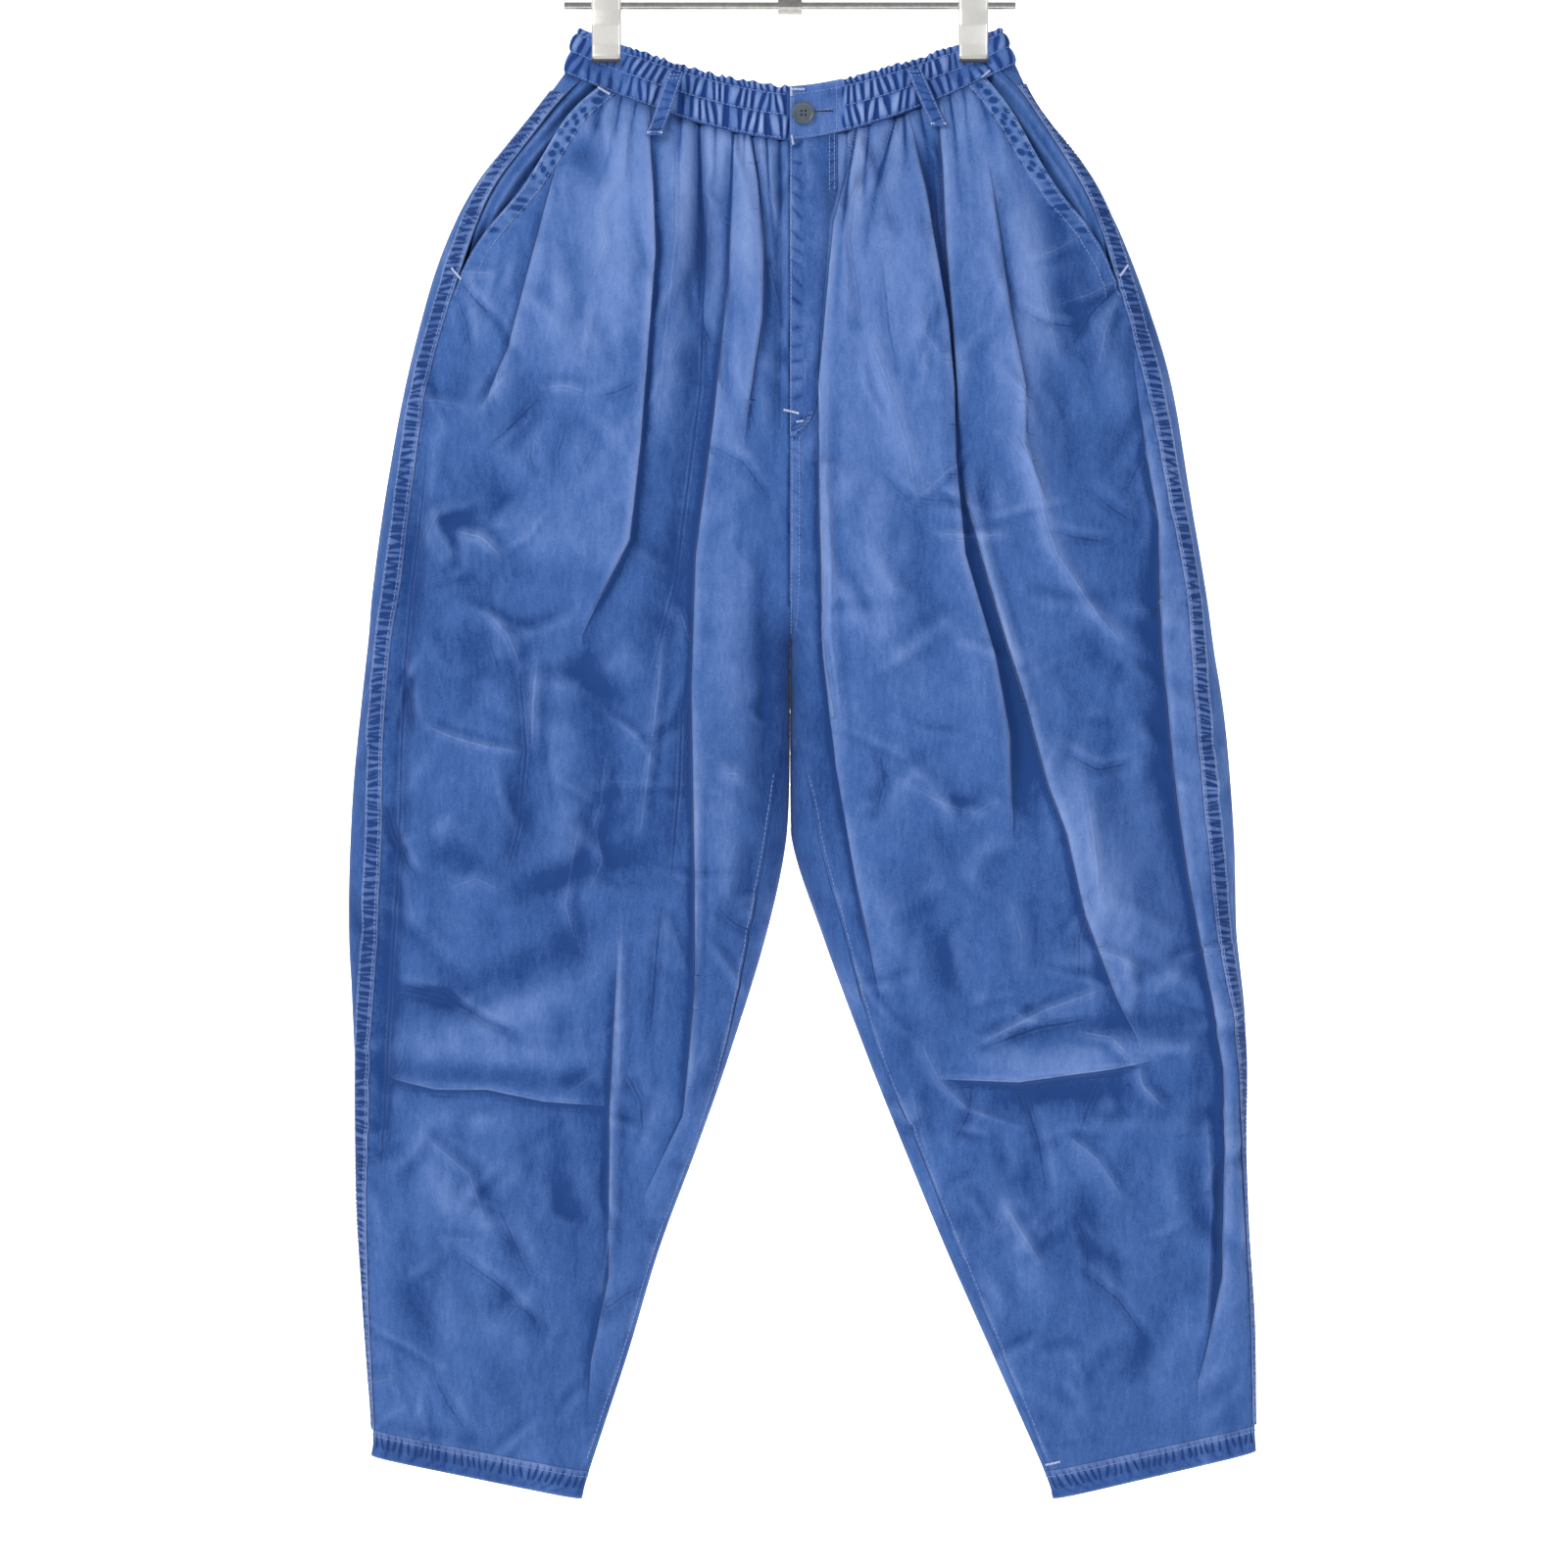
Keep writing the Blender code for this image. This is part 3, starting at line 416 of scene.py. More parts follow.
rows_seen = leg_rows("left", np.array([0.0, 7.0, 15.0]))
print("half depths in front:", np.round(-rows_seen.y.min(axis=1), 1))

# %% [markdown]
# ## Folds
# Hung cloth folds in knife-like steps: a flap lies over its neighbour, with a sharp crest, a
# dark foot beside it and a slow fall behind it. Softer places are ridges and troughs. The
# main ones are in the same table as the solids', and the shorter ones are listed after them,
# each placed from the photo. Every fold also paints colour: its crest pale, as highlight and
# wear, and its foot dark, as shade with some dye kept there.

# %% The tables of folds
Fold = namedtuple("Fold", "run kind high height width plateau path")
Gather = namedtuple("Gather", "x length end_x height")
Crease = namedtuple("Crease", "height width path")
LightShadePatch = namedtuple("LightShadePatch", "x drop wide tall amount")

# A fold: which way it runs, its kind, its high side, height, width and plateau, then its
# path as x,drop pairs.
FRONT_FOLDS = table(
    Fold,
    """
down step -1 8 4 50: -95,165 -91,263 -101,395 -108,456 -139,520
down ridge 0 4 10 0: -76,180 -76,250 -84,330 -90,395
down trough 0 5 13 0: -55,210 -60,355 -77,487 -96,560
down step 1 5.5 4 34: -38,177 -40,282 -50,375 -62,467 -65,553 -63,685 -63,757 -72,841 -97,894
down trough 0 2 6 0: -24,190 -16,249 -11,375 -20,461 -17,566 -18,645
down trough 0 4 8 0: -181,534 -176,597 -181,649 -192,688
down trough 0 5 8 0: -240,368 -246,421 -255,487 -260,553 -262,652 -268,751 -272,817 -276,900
down step 1 4 4 28: -154,201 -173,274 -187,329 -205,370
across step -1 3.8 4 28: -271,815 -236,823 -202,823 -165,831 -123,834
across trough 0 3 6 0: -265,755 -228,764 -207,774 -177,787
down step 1 4 4 20: -114,725 -117,784 -120,837 -121,949 -133,1006 -135,1037
down step 1 7 4 34: 46,185 30,243 24,312 20,353 21,447 25,534 33,608 46,685 60,757
down trough 0 3.5 5 0: 65,183 42,228 40,256 49,315
down ridge 0 3 8 0: 50,315 65,355 79,403 85,440
down trough 0 4 6 0: 94,185 99,250 106,320 110,403 118,450
down step 1 5 4 26: 99,158 103,206 105,258 109,312 112,358 112,400
down trough 0 3.4 3.6 0: -6,172 -6,260 -7,358 -7,400
down step -1 4.5 4 18: -29,172 -22,215 -18,258 -19,308 -25,345 -31,390
down trough 0 3.4 4 0: -62,170 -59,230 -59,290
down trough 0 3 3.6 0: 55,190 65,225 72,256
down step -1 8 4 42: 79,172 85,198 90,222 95,258 104,310 108,355 109,403 115,466 135,534 145,587 \
148,649
down step 1 6 5 32: 110,403 126,460 143,519 158,565 172,618 185,652 197,705 218,761 233,791
down step -1 4 4 26: 131,203 139,252 147,308 156,353 156,393 170,434
down ridge 0 4 7 0: 154,376 168,440 176,465 204,507 229,535
down step 1 8 4 22: 231,342 238,400 246,447 247,502 250,544 256,608 267,685 281,757 290,810 \
291,862 290,949 279,1002 274,1020
across step -1 5 4 24: 100,816 153,818 187,813 218,809 240,804
down ridge 0 3 6 0: 86,789 100,818 117,835 155,850
""",
)
BACK_FOLDS = table(
    Fold,
    """
down step -1 6 4 40: -70,180 -74,300 -92,420 -120,540
down step 1 6 4 40: 84,178 90,290 104,400 140,560
down trough 0 4.5 12 0: -30,200 -34,330 -46,470 -60,640
down trough 0 4.5 12 0: 38,200 40,340 52,470 76,660
down ridge 0 4 12 0: -130,190 -150,300 -172,430 -190,560
down ridge 0 4 12 0: 140,200 160,310 180,440 205,600
down trough 0 4 9 0: -225,420 -232,560 -236,720 -240,860
down trough 0 4 9 0: 228,400 240,560 250,720 262,880
across step -1 5 4 26: -262,800 -190,812 -100,806
across step -1 5 4 26: 90,800 170,816 262,806
down step 1 4 4 26: -150,640 -152,760 -160,900 -182,1000
down step -1 4 4 26: 168,640 176,760 198,900 222,1000
""",
)

# Gathers of the front, in order from the wearer's right: x at the waist seam, the run's
# length, the x it has drifted to at its end, and the height.
FRONT_GATHERS = table(
    Gather,
    """
-124 30 -130 1.2
-113 45 -121 1.8
-103 36 -108 1.3
-73 40 -74 1.3
-61 95 -59 3.6
-50 34 -51 1.3
-38 100 -40 3.4
-31 30 -31 1.2
-25.5 80 -18 2.8
-16 60 -12 2
-7 60 -7 1.8
38 40 36 1.6
44 80 34 2.8
53 46 50 1.8
71 52 57 3.2
76 30 77 2.4
87 34 92 1.6
107 60 113 1.9
116 46 121 1.4
125 36 133 1.3
""",
)

# Shorter creases of the front: height, width and path. A positive height is a ridge, a
# negative one a trough.
FRONT_CREASES = table(
    Crease,
    """
1.6 3: -113,211 -127,235 -123,259 -134,292
1.8 3: -208,372 -197,358 -186,344
1.6 3.5: -168,356 -150,354 -130,360
-1.6 3: -130,362 -115,358 -100,351
-1.8 3: -222,282 -210,296 -199,308
1.4 2.6: -220,277 -206,278 -193,279
-1.6 3.4: -224,290 -216,312 -212,338
2.4 4: -225,450 -205,455 -190,470
2 3.6: -206,500 -188,520 -178,545
-2.2 3.6: -261,540 -256,562 -250,585
2 3: -246,579 -225,588 -200,595 -177,598
-2.4 3.4: -271,631 -267,652 -256,672 -246,684
2.4 4: -168,530 -171,565 -172,597
1.6 3.4: -122,593 -126,631 -135,661
2.2 3: -84,513 -88,556 -101,661
-2.4 7: -72,560 -74,620 -80,690
1.8 2.4: -61,615 -62,724 -67,808 -73,843
-1.6 3: -268,752 -231,759 -204,777 -177,789
1.8 3: -112,703 -115,842
-1.8 3: -86,694 -94,795
1.6 3.4: -140,640 -150,700 -142,730
1.4 3.4: -250,850 -215,880 -200,925
-1.4 3.4: -230,930 -195,955 -160,990
1.6 3.2: -117,811 -119,900 -130,985
2 3: 26,318 24,420 29,520 38,600
-1.6 2.6: 60,260 66,318 73,352
1.8 3: 118,401 130,462 152,540 166,594
1.6 3.4: 93,452 120,455 150,452
-1.6 3: 168,449 190,455 214,458
2 3: 224,279 200,292 176,300
-2 3: 222,285 202,304 186,330
1.8 3: 220,290 210,316 204,348
1.6 3: 195,252 178,262 158,270
-1.6 3: 150,300 170,312 196,314
2.2 4: 196,620 202,664 206,705
-2 3.4: 180,597 205,610 230,604
2.2 3: 122,794 170,770 214,754
-1.8 3: 121,798 165,782 205,775
2.6 3.6: 231,807 236,822 250,836
2.2 3.4: 229,804 214,788 190,784
-2 3.4: 154,820 166,858 172,893
1.8 3.4: 141,896 155,920 170,944
1.6 3.4: 180,850 205,870 226,902
-1.4 3.4: 190,940 220,965 245,1000
1.6 3: 277,820 282,900 278,1000
""",
)

# Broad swells of the front: planes that catch the light and planes that turn from it.
FRONT_SWELLS = table(
    Crease,
    """
3.6 13: 135,190 149,236 166,296 181,348
2.4 9: -162,256 -152,289 -162,329
-1.9 11: -162,203 -143,197 -119,207
-1.6 12: -215,461 -162,480 -110,487
3.5 13: -271,787 -242,789 -197,775 -143,754 -110,728
-2.8 8: -275,810 -222,812 -162,816 -117,818
3 20: -110,210 -119,263 -136,322 -152,375
-2.4 11: -139,187 -128,223
-2.2 12: -152,535 -112,568
2.5 14: -158,513 -150,593 -154,685
2.2 10: -251,447 -225,461 -185,451
-2.4 9: -197,694 -143,678 -87,660
2.6 13: -40,461 -37,593 -47,705
2.2 10: -248,870 -222,903 -189,923
-2.2 9: -162,870 -136,923
2 9: -215,969 -172,1002
-2 10: -258,949 -235,1008
-2 10: -222,513 -202,546
-2.2 9: -242,659 -209,672
2 8: -202,309 -189,355 -202,401
-1.4 12: -222,408 -176,434
3 14: 55,408 62,487 72,566
3.2 9: 118,801 168,803 227,793 286,799
-2.8 8: 128,830 181,825 240,822
3 13: 178,579 202,665 230,738
-3 10: 239,461 247,593 263,698
2.6 11: 145,289 156,368 169,441
-2.6 9: 135,513 151,593 164,659
2 10: 128,870 154,916 168,975
-2 10: 194,883 211,956
2 9: 247,863 263,929
-2 9: 250,969 227,1022
2.4 12: 49,672 82,744 102,791
-2.2 10: 194,513 220,553
2.2 8: 201,289 214,335 227,381
""",
)

# Patches painted lighter where the amount is positive and darker where it is negative:
# the light and shade of broad planes of the cloth.
LIGHT_AND_SHADE_PATCHES = table(
    LightShadePatch,
    """
161 289 15 70 0.45
227 685 38 62 0.4
-215 870 45 60 0.14
-44 619 22 80 -0.3
-222 355 20 50 -0.22
-202 513 40 45 -0.18
-190 685 45 55 -0.1
62 260 20 40 0.15
-118 250 22 60 0.12
""",
)
print(len(FRONT_FOLDS) + len(BACK_FOLDS), "main folds,", len(FRONT_GATHERS), "gathers")

# %% [markdown]
# ## From tables to a relief
# The relief is how far the cloth stands off the plain oval. A step is a steep rise that eases
# back, and its crest is also pushed sideways over its foot, which makes the undercut that
# reads as a dark line. Small crumples are hundreds of short creases strewn at random with a
# fixed seed, because washed cotton is never smooth, and a slow random swell lies under them.
# One number says where a crest is painted pale, partly as wear and partly as highlight, and
# shade says where a hollow or a fold's lee is painted dark, as shade with some dye kept there.
# The thin line of each crease is finer than the grid, so the cloth stores how far every point
# is from the nearest one, how strong it is and its kind, and the material paints the line
# itself: a thin dark line of painted shadow beside a thin pale line of painted highlight.

# %% Relief, painted highlight, wear and shade
FOLD_EASE, FOLD_RUN_OUT = 0.18, 0.3
OVERHANG = 0.42
SHARPNESS = 0.5  # a fold is this much narrower than its solid, which has fewer points
LEE_REACH = 11.0  # how far the painted shade behind a step reaches
LINE_REACH, FAINTEST_LINE = 6.0, 0.06
CRUMPLES = 320
GATHER_SWAY, GATHER_RUN = 1.4, 1.7
CRUMPLE_TOP, CRUMPLE_FOOT, CRUMPLE_OUT = 150.0, 1075.0, 320.0
CALM_FOOT = (1010.0, 1062.0)  # between these drops the relief calms down towards the hem
BACK_GATHER_PITCH, BACK_GATHER_HALF = 9.5, 133.0
SWELL_CELL, FINE_SWELL_CELL, SWELL_HEIGHT = (46, 95), (21, 38), 1.3
# how strongly the patches paint light and shade
PATCH_LIGHT, PATCH_SHADE = 0.5, 0.6
POUCH_RISE, POUCH_FALL, POUCH_HEIGHT = (0, 9), (22, 90), 3.2  # the cloth bulges under the band
LATTICE = 64
Relief = namedtuple("Relief", "lift slide frost shade off size kind")


def blank_relief(shape):
    """A relief of zeros, with the nearest crease as far off as a line reaches."""
    relief = Relief(*(np.zeros(shape) for _ in Relief._fields))
    relief.off[...] = LINE_REACH
    return relief


def write_back(relief, part, where):
    """Put a relief that was worked out for some points only back into the whole."""
    for whole, values in zip(relief, part):
        whole[where] = values


def note_line(relief, away, size, kind):
    """Keep this crease's line where it is the nearest so far and shows at all."""
    nearer = (np.abs(away) < np.abs(relief.off)) & (size > FAINTEST_LINE)
    fading = 1 - smoothstep(0.5 * LINE_REACH, LINE_REACH, np.abs(away))
    relief.off[...] = np.where(nearer, away, relief.off)
    relief.size[...] = np.where(nearer, size * fading, relief.size)
    relief.kind[...] = np.where(nearer, kind, relief.kind)


def fold_line(fold, x, drop):
    """How far each point is from a fold's line, and how much of the fold shows there."""
    down = fold.run == "down"
    path = np.array(fold.path, float)
    along, off = (drop, x) if down else (x, drop)
    keys, places = (path[:, 1], path[:, 0]) if down else (path[:, 0], path[:, 1])
    ease = FOLD_EASE * (keys[-1] - keys[0])
    shown = smoothstep(keys[0] - FOLD_RUN_OUT * ease, keys[0] + ease, along)
    shown = shown * (1 - smoothstep(keys[-1] - ease, keys[-1] + FOLD_RUN_OUT * ease, along))
    return off - np.interp(along, keys, places), shown


def add_fold(relief, fold, x, drop):
    """Add one main fold: a step is 0.5 + 0.5 tanh, times a slow exponential fall."""
    away, shown = fold_line(fold, x, drop)
    size = fold.height * shown
    if fold.kind == "step":
        over = fold.high * away
        width = SHARPNESS * fold.width
        rise = 0.5 * (1 + np.tanh(over / width))
        form = rise * np.exp(-np.maximum(over, 0) / fold.plateau)
        crest = hump(over - width, 0.9 * width)
        foot = hump(over + 1.3 * width, 1.4 * width)
        lee = (1 - rise) * np.exp(-np.maximum(-over, 0) / LEE_REACH)
        note_line(relief, over + 0.4, 0.14 * size, 0)
        relief.lift[...] += size * form
        if fold.run == "down":
            relief.slide[...] -= fold.high * OVERHANG * size * crest
        # Painted: the crest pale as highlight and wear, the foot and the lee dark as shade, and the
        # raised plane lighter, as lit.
        relief.frost[...] += 0.05 * size * crest
        relief.shade[...] += size * (0.10 * foot + 0.05 * lee - 0.05 * form)
    else:
        sign = -1 if fold.kind == "trough" else 1
        form = hump(away, fold.width)
        relief.lift[...] += sign * size * form
        # Painted: a ridge pale as highlight and wear and lighter, a trough darker as shade.
        relief.frost[...] += 0.04 * size * form * (sign > 0)
        relief.shade[...] -= sign * 0.09 * size * form
        note_line(relief, away, 0.03 * size, sign)


def add_gather(relief, gather, x, below):
    """Add one gather: shoulders that follow e to the minus distance, about a dark cleft."""
    share = np.clip(below / (GATHER_RUN * gather.length), 0, 1.3)
    line = gather.x + (gather.end_x - gather.x) * GATHER_RUN * share
    line = line + GATHER_SWAY * share * np.sin(below / 14 + gather.x)
    width = 0.9 + 0.8 * gather.height + 5.0 * share
    shown = (1 - smoothstep(0.15, 1.15, share)) * gather.height
    away = np.abs(x - line)
    relief.lift[...] -= 1.5 * shown * np.exp(-away / width)
    # Painted shade in the cleft, and painted highlight with wear on the shoulders.
    relief.shade[...] += 0.46 * shown * hump(away, 0.9 + 1.5 * share)
    relief.frost[...] += 0.09 * shown * hump(away - 1.7 * width, width)
    note_line(relief, x - line, 0.10 * shown * (1 - smoothstep(0.1, 0.5, share)), -1)


def add_crease(relief, height, width, path, x, drop, frost=0.10, crisp=0.07):
    """Add one short crease along a bent line: a ridge with a shallow hollow on one side."""
    path = np.array(path, float)
    start, end = path[0], path[-1]
    reach = np.hypot(*(end - start))
    way = (end - start) / reach
    along = ((x - start[0]) * way[0] + (drop - start[1]) * way[1]) / reach
    across = (x - start[0]) * way[1] - (drop - start[1]) * way[0]
    keys = ((path - start) @ way) / reach
    bends = (path - start) @ np.array([way[1], -way[0]])
    off = (across - np.interp(along, keys, bends)) / width
    shown = np.clip(along * (1 - along) * 4, 0, 1) ** 0.7 * ((along > 0) & (along < 1))
    ridge, hollow = np.exp(-(off**2)), np.exp(-((off - 1.9) ** 2))
    size = abs(height) * shown
    relief.lift[...] += np.sign(height) * size * (ridge - 0.5 * hollow)
    note_line(relief, off * width, crisp * size, np.sign(height))
    # Painted: a ridge pale as highlight and wear with shade in its hollow, a trough dark as shade
    # with its raised side pale.
    if height > 0:
        relief.frost[...] += frost * size * ridge
        relief.shade[...] += size * (0.15 * hollow - 0.09 * ridge)
    else:
        relief.shade[...] += size * (0.20 * ridge - 0.06 * hollow)
        relief.frost[...] += 0.6 * frost * size * hollow


def swell(x, drop, cell, seed):
    """Slow random swell: a lattice of random heights with smooth blending between them."""
    grid = np.random.default_rng(seed).uniform(-1, 1, (LATTICE, LATTICE))
    u, v = x / cell[0] + 17.3, drop / cell[1] + 5.1
    i, j = np.floor(u).astype(int), np.floor(v).astype(int)
    a, b = u - i, v - j
    a, b = a * a * (3 - 2 * a), b * b * (3 - 2 * b)

    def corner(p, q):
        return grid[(i + p) % LATTICE, (j + q) % LATTICE]

    top = corner(0, 0) + (corner(1, 0) - corner(0, 0)) * a
    foot = corner(0, 1) + (corner(1, 1) - corner(0, 1)) * a
    return top + (foot - top) * b


def strewn_crumples(sign, seed):
    """Short random creases of one leg: steeper near the waist, any way round lower down."""
    rng = np.random.default_rng(seed)
    strewn = []
    for _ in range(CRUMPLES):
        x, drop = sign * rng.uniform(0, CRUMPLE_OUT), rng.uniform(CRUMPLE_TOP, CRUMPLE_FOOT)
        middle = np.array([x, drop])
        lean = rng.normal(0, 0.3 + 0.9 * smoothstep(CRUMPLE_TOP + 120, CRUMPLE_TOP + 420, drop))
        way = np.array([math.sin(lean), math.cos(lean)])
        reach = rng.uniform(9, 34)
        bend = rng.normal(0, 0.14) * reach * np.array([way[1], -way[0]])
        height = rng.uniform(0.4, 1.7) * (1 if rng.random() < 0.6 else -1)
        path = [middle - reach * way, middle + bend, middle + reach * way]
        crisp = 0.07 * (rng.random() < 0.3)
        strewn.append((height, rng.uniform(2.0, 6.5), path, middle, reach + 16, crisp))
    return strewn


CRUMPLE_TABLES = {
    (side, face): strewn_crumples(sign, seed)
    for side, face, sign, seed in (
        ("right", "front", -1, 11),
        ("left", "front", 1, 23),
        ("right", "back", -1, 31),
        ("left", "back", 1, 43),
    )
}


def back_gathers():
    """Gathers of the back, evenly spaced and then shaken a little."""
    rng = np.random.default_rng(3)
    starts = np.arange(-BACK_GATHER_HALF, BACK_GATHER_HALF + 1, BACK_GATHER_PITCH)
    starts = starts + rng.uniform(-2, 2, len(starts))
    return [Gather(s, rng.uniform(35, 95), s * 1.06, rng.uniform(1.6, 2.8)) for s in starts]


GATHERS = {"front": FRONT_GATHERS, "back": back_gathers()}
MAIN_FOLDS = {"front": FRONT_FOLDS, "back": BACK_FOLDS}


def cloth_relief(side, face, x, drop, below):
    """The relief at loose points of one face: below is the distance under the waist seam."""
    relief = blank_relief(x.shape)
    for fold in MAIN_FOLDS[face]:
        add_fold(relief, fold, x, drop)
    for gather in GATHERS[face]:
        add_gather(relief, gather, x, below)
    if face == "front":
        for crease in FRONT_CREASES:
            add_crease(relief, *crease, x, drop)
        # The swells are also painted lighter on their crests and darker in their hollows, as light
        # and shade.
        for form in FRONT_SWELLS:
            add_crease(relief, *form, x, drop, 0.03, 0.0)
        # Patches painted lighter, as light, and darker, as shade.
        for spot in LIGHT_AND_SHADE_PATCHES:
            far = ((x - spot.x) / spot.wide) ** 2 + ((drop - spot.drop) / spot.tall) ** 2
            relief.frost[...] += PATCH_LIGHT * max(spot.amount, 0) * np.exp(-far)
            relief.shade[...] -= PATCH_SHADE * spot.amount * np.exp(-far)
    for height, width, path, middle, reach, crisp in CRUMPLE_TABLES[side, face]:
        near = (np.abs(x - middle[0]) < reach) & (np.abs(drop - middle[1]) < reach)
        if near.any():
            part = Relief(*(values[near] for values in relief))
            add_crease(part, height, width, path, x[near], drop[near], 0.07, crisp)
            write_back(relief, part, near)
    seed = 60 + 10 * (side == "left") + 5 * (face == "back")
    slow = swell(x, drop, SWELL_CELL, seed) + 0.5 * swell(x, drop, FINE_SWELL_CELL, seed + 1)
    relief.lift[...] += SWELL_HEIGHT * slow
    # Darker from the hips down, and painted lighter where the slow swell stands out, as light.
    relief.shade[...] += 0.22 * smoothstep(270, 560, drop) - 0.12 * slow
    pouch = smoothstep(*POUCH_RISE, below) * (1 - smoothstep(*POUCH_FALL, below))
    relief.lift[...] += POUCH_HEIGHT * pouch - 0.8 * (1 - smoothstep(0, 5, below))
    # Painted shade just under the band's seam, and painted light on the bulge below it.
    relief.shade[...] += 0.45 * (1 - smoothstep(0, 6, below)) - 0.10 * pouch
    relief.frost[...] += 0.05 * smoothstep(820, 1060, drop)
    calm = 1 - 0.85 * smoothstep(*CALM_FOOT, drop)
    relief.lift[...] *= calm
    relief.slide[...] *= calm
    return relief


print("a step fold of 8 mm slides its crest", round(OVERHANG * 8, 1), "mm over its foot")

# %% [markdown]
# ## Turning grids into cloth
# A piece of cloth is two grids of points, outside and inside, joined round the edge, so it is
# a closed wall as thin as real cloth. Each point keeps two numbers for its colour: where it is
# painted pale, as highlight and wear, and where it is painted dark, as shade with some dye
# kept there. A UV map in millimetres along the cloth carries the weave, so the twill follows
# the cloth and not the room.

# %% Mesh helpers
SHARP_ANGLE = math.radians(75)


def mesh_from(name, points, faces, attributes=(), uv=None):
    """A mesh from arrays: points in millimetres, faces as rows of three or four numbers."""
    mesh = bpy.data.meshes.new(name)
    mesh.from_pydata(points * MM, [], faces)
    for key, values in attributes:
        layer = mesh.attributes.new(key, "FLOAT", "POINT")
        layer.data.foreach_set("value", np.ascontiguousarray(values, dtype=np.float32).ravel())
    if uv is not None:
        corner = np.empty(len(mesh.loops), dtype=np.int32)
        mesh.loops.foreach_get("vertex_index", corner)
        layer = mesh.uv_layers.new(name="ClothUV")
        layer.data.foreach_set("uv", np.ascontiguousarray(uv[corner], dtype=np.float32).ravel())
    mesh.validate()
    mesh.shade_smooth()
    mesh.set_sharp_from_angle(angle=SHARP_ANGLE)
    return mesh


def grid_faces(rows, columns, first, closed, flip):
    """Quads between neighbouring rows and columns of a grid of points."""
    i = np.arange(rows - 1)[:, None]
    j = np.arange(columns if closed else columns - 1)[None, :]
    a = i * columns + j
    b = i * columns + (j + 1) % columns
    order = [a, b, b + columns, a + columns]
    if flip:
        order = order[::-1]
    return first + np.stack(np.broadcast_arrays(*order), axis=-1).reshape(-1, 4)


def border_faces(rows, columns, count, closed, flip):
    """Quads that close the wall round its edge, wound to face outwards like its layers."""
    j = np.arange(columns if closed else columns - 1)
    k = (j + 1) % columns
    last = (rows - 1) * columns
    strips = [np.stack([j, j + count, k + count, k], axis=-1)]
    strips.append(np.stack([last + k, last + k + count, last + j + count, last + j], axis=-1))
    if not closed:
        a = np.arange(rows - 1) * columns
        b = a + columns
        strips.append(np.stack([b, b + count, a + count, a], axis=-1))
        a, b = a + columns - 1, b + columns - 1
        strips.append(np.stack([a, a + count, b + count, b], axis=-1))
    faces = np.concatenate(strips)
    return faces[:, ::-1] if flip else faces


def wall_faces(rows, columns, closed, flip):
    """Faces of a closed wall: its outer grid, its inner grid and the border round them."""
    count = rows * columns
    return np.concatenate(
        [
            grid_faces(rows, columns, 0, closed, flip),
            grid_faces(rows, columns, count, closed, not flip),
            border_faces(rows, columns, count, closed, flip),
        ]
    )


def cloth_piece(name, outer, inner, material, marks, closed=False, flip=False):
    """Put a closed wall of cloth into the scene and let it ride on the one body."""
    rows, columns = outer.shape[:2]
    points = np.concatenate([outer.reshape(-1, 3), inner.reshape(-1, 3)])
    faces = wall_faces(rows, columns, closed, flip)
    across = np.linalg.norm(np.diff(outer, axis=1, prepend=outer[:, :1]), axis=-1).cumsum(axis=1)
    down = np.linalg.norm(np.diff(outer, axis=0, prepend=outer[:1]), axis=-1).cumsum(axis=0)
    uv = np.stack([across, down.mean(axis=1, keepdims=True) + 0 * across], axis=-1)
    uv = np.tile(uv.reshape(-1, 2), (2, 1))
    attributes = [
        (key, np.tile(np.broadcast_to(marks[key], (rows, columns)).ravel(), 2)) for key in marks
    ]
    mesh = mesh_from(name, points, faces, attributes, uv)
    piece = put_in_scene(name, mesh, material)
    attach(piece, "root")
    print(f"{name}: {len(faces)} faces")
    return piece


def marks_of(relief):
    """The numbers a material reads: painted highlight and wear, painted shade, nearest crease."""
    return {
        "frost": relief.frost,
        "shade": relief.shade,
        "line_off": relief.off,
        "line_size": relief.size,
        "line_kind": relief.kind,
    }


print("helpers ready")

# %% [markdown]
# ## Washed cotton twill
# The cloth is a medium cotton twill, dyed after sewing and washed often. Its surface is matt
# and slightly downy, with cloudy patches where the dye has gone unevenly. Every crest is
# painted pale, as highlight and wear, and the hollows and puckers are painted dark, as shade
# with some dye kept there. Each crease line is painted as a thin dark shadow beside a thin
# pale highlight. One function builds it, and the seams get a version with more contrast.

# %% The cloth's materials
TWILL_LINE_MM = 1.3  # the real diagonal is about 0.5 mm, drawn coarser so that it shows


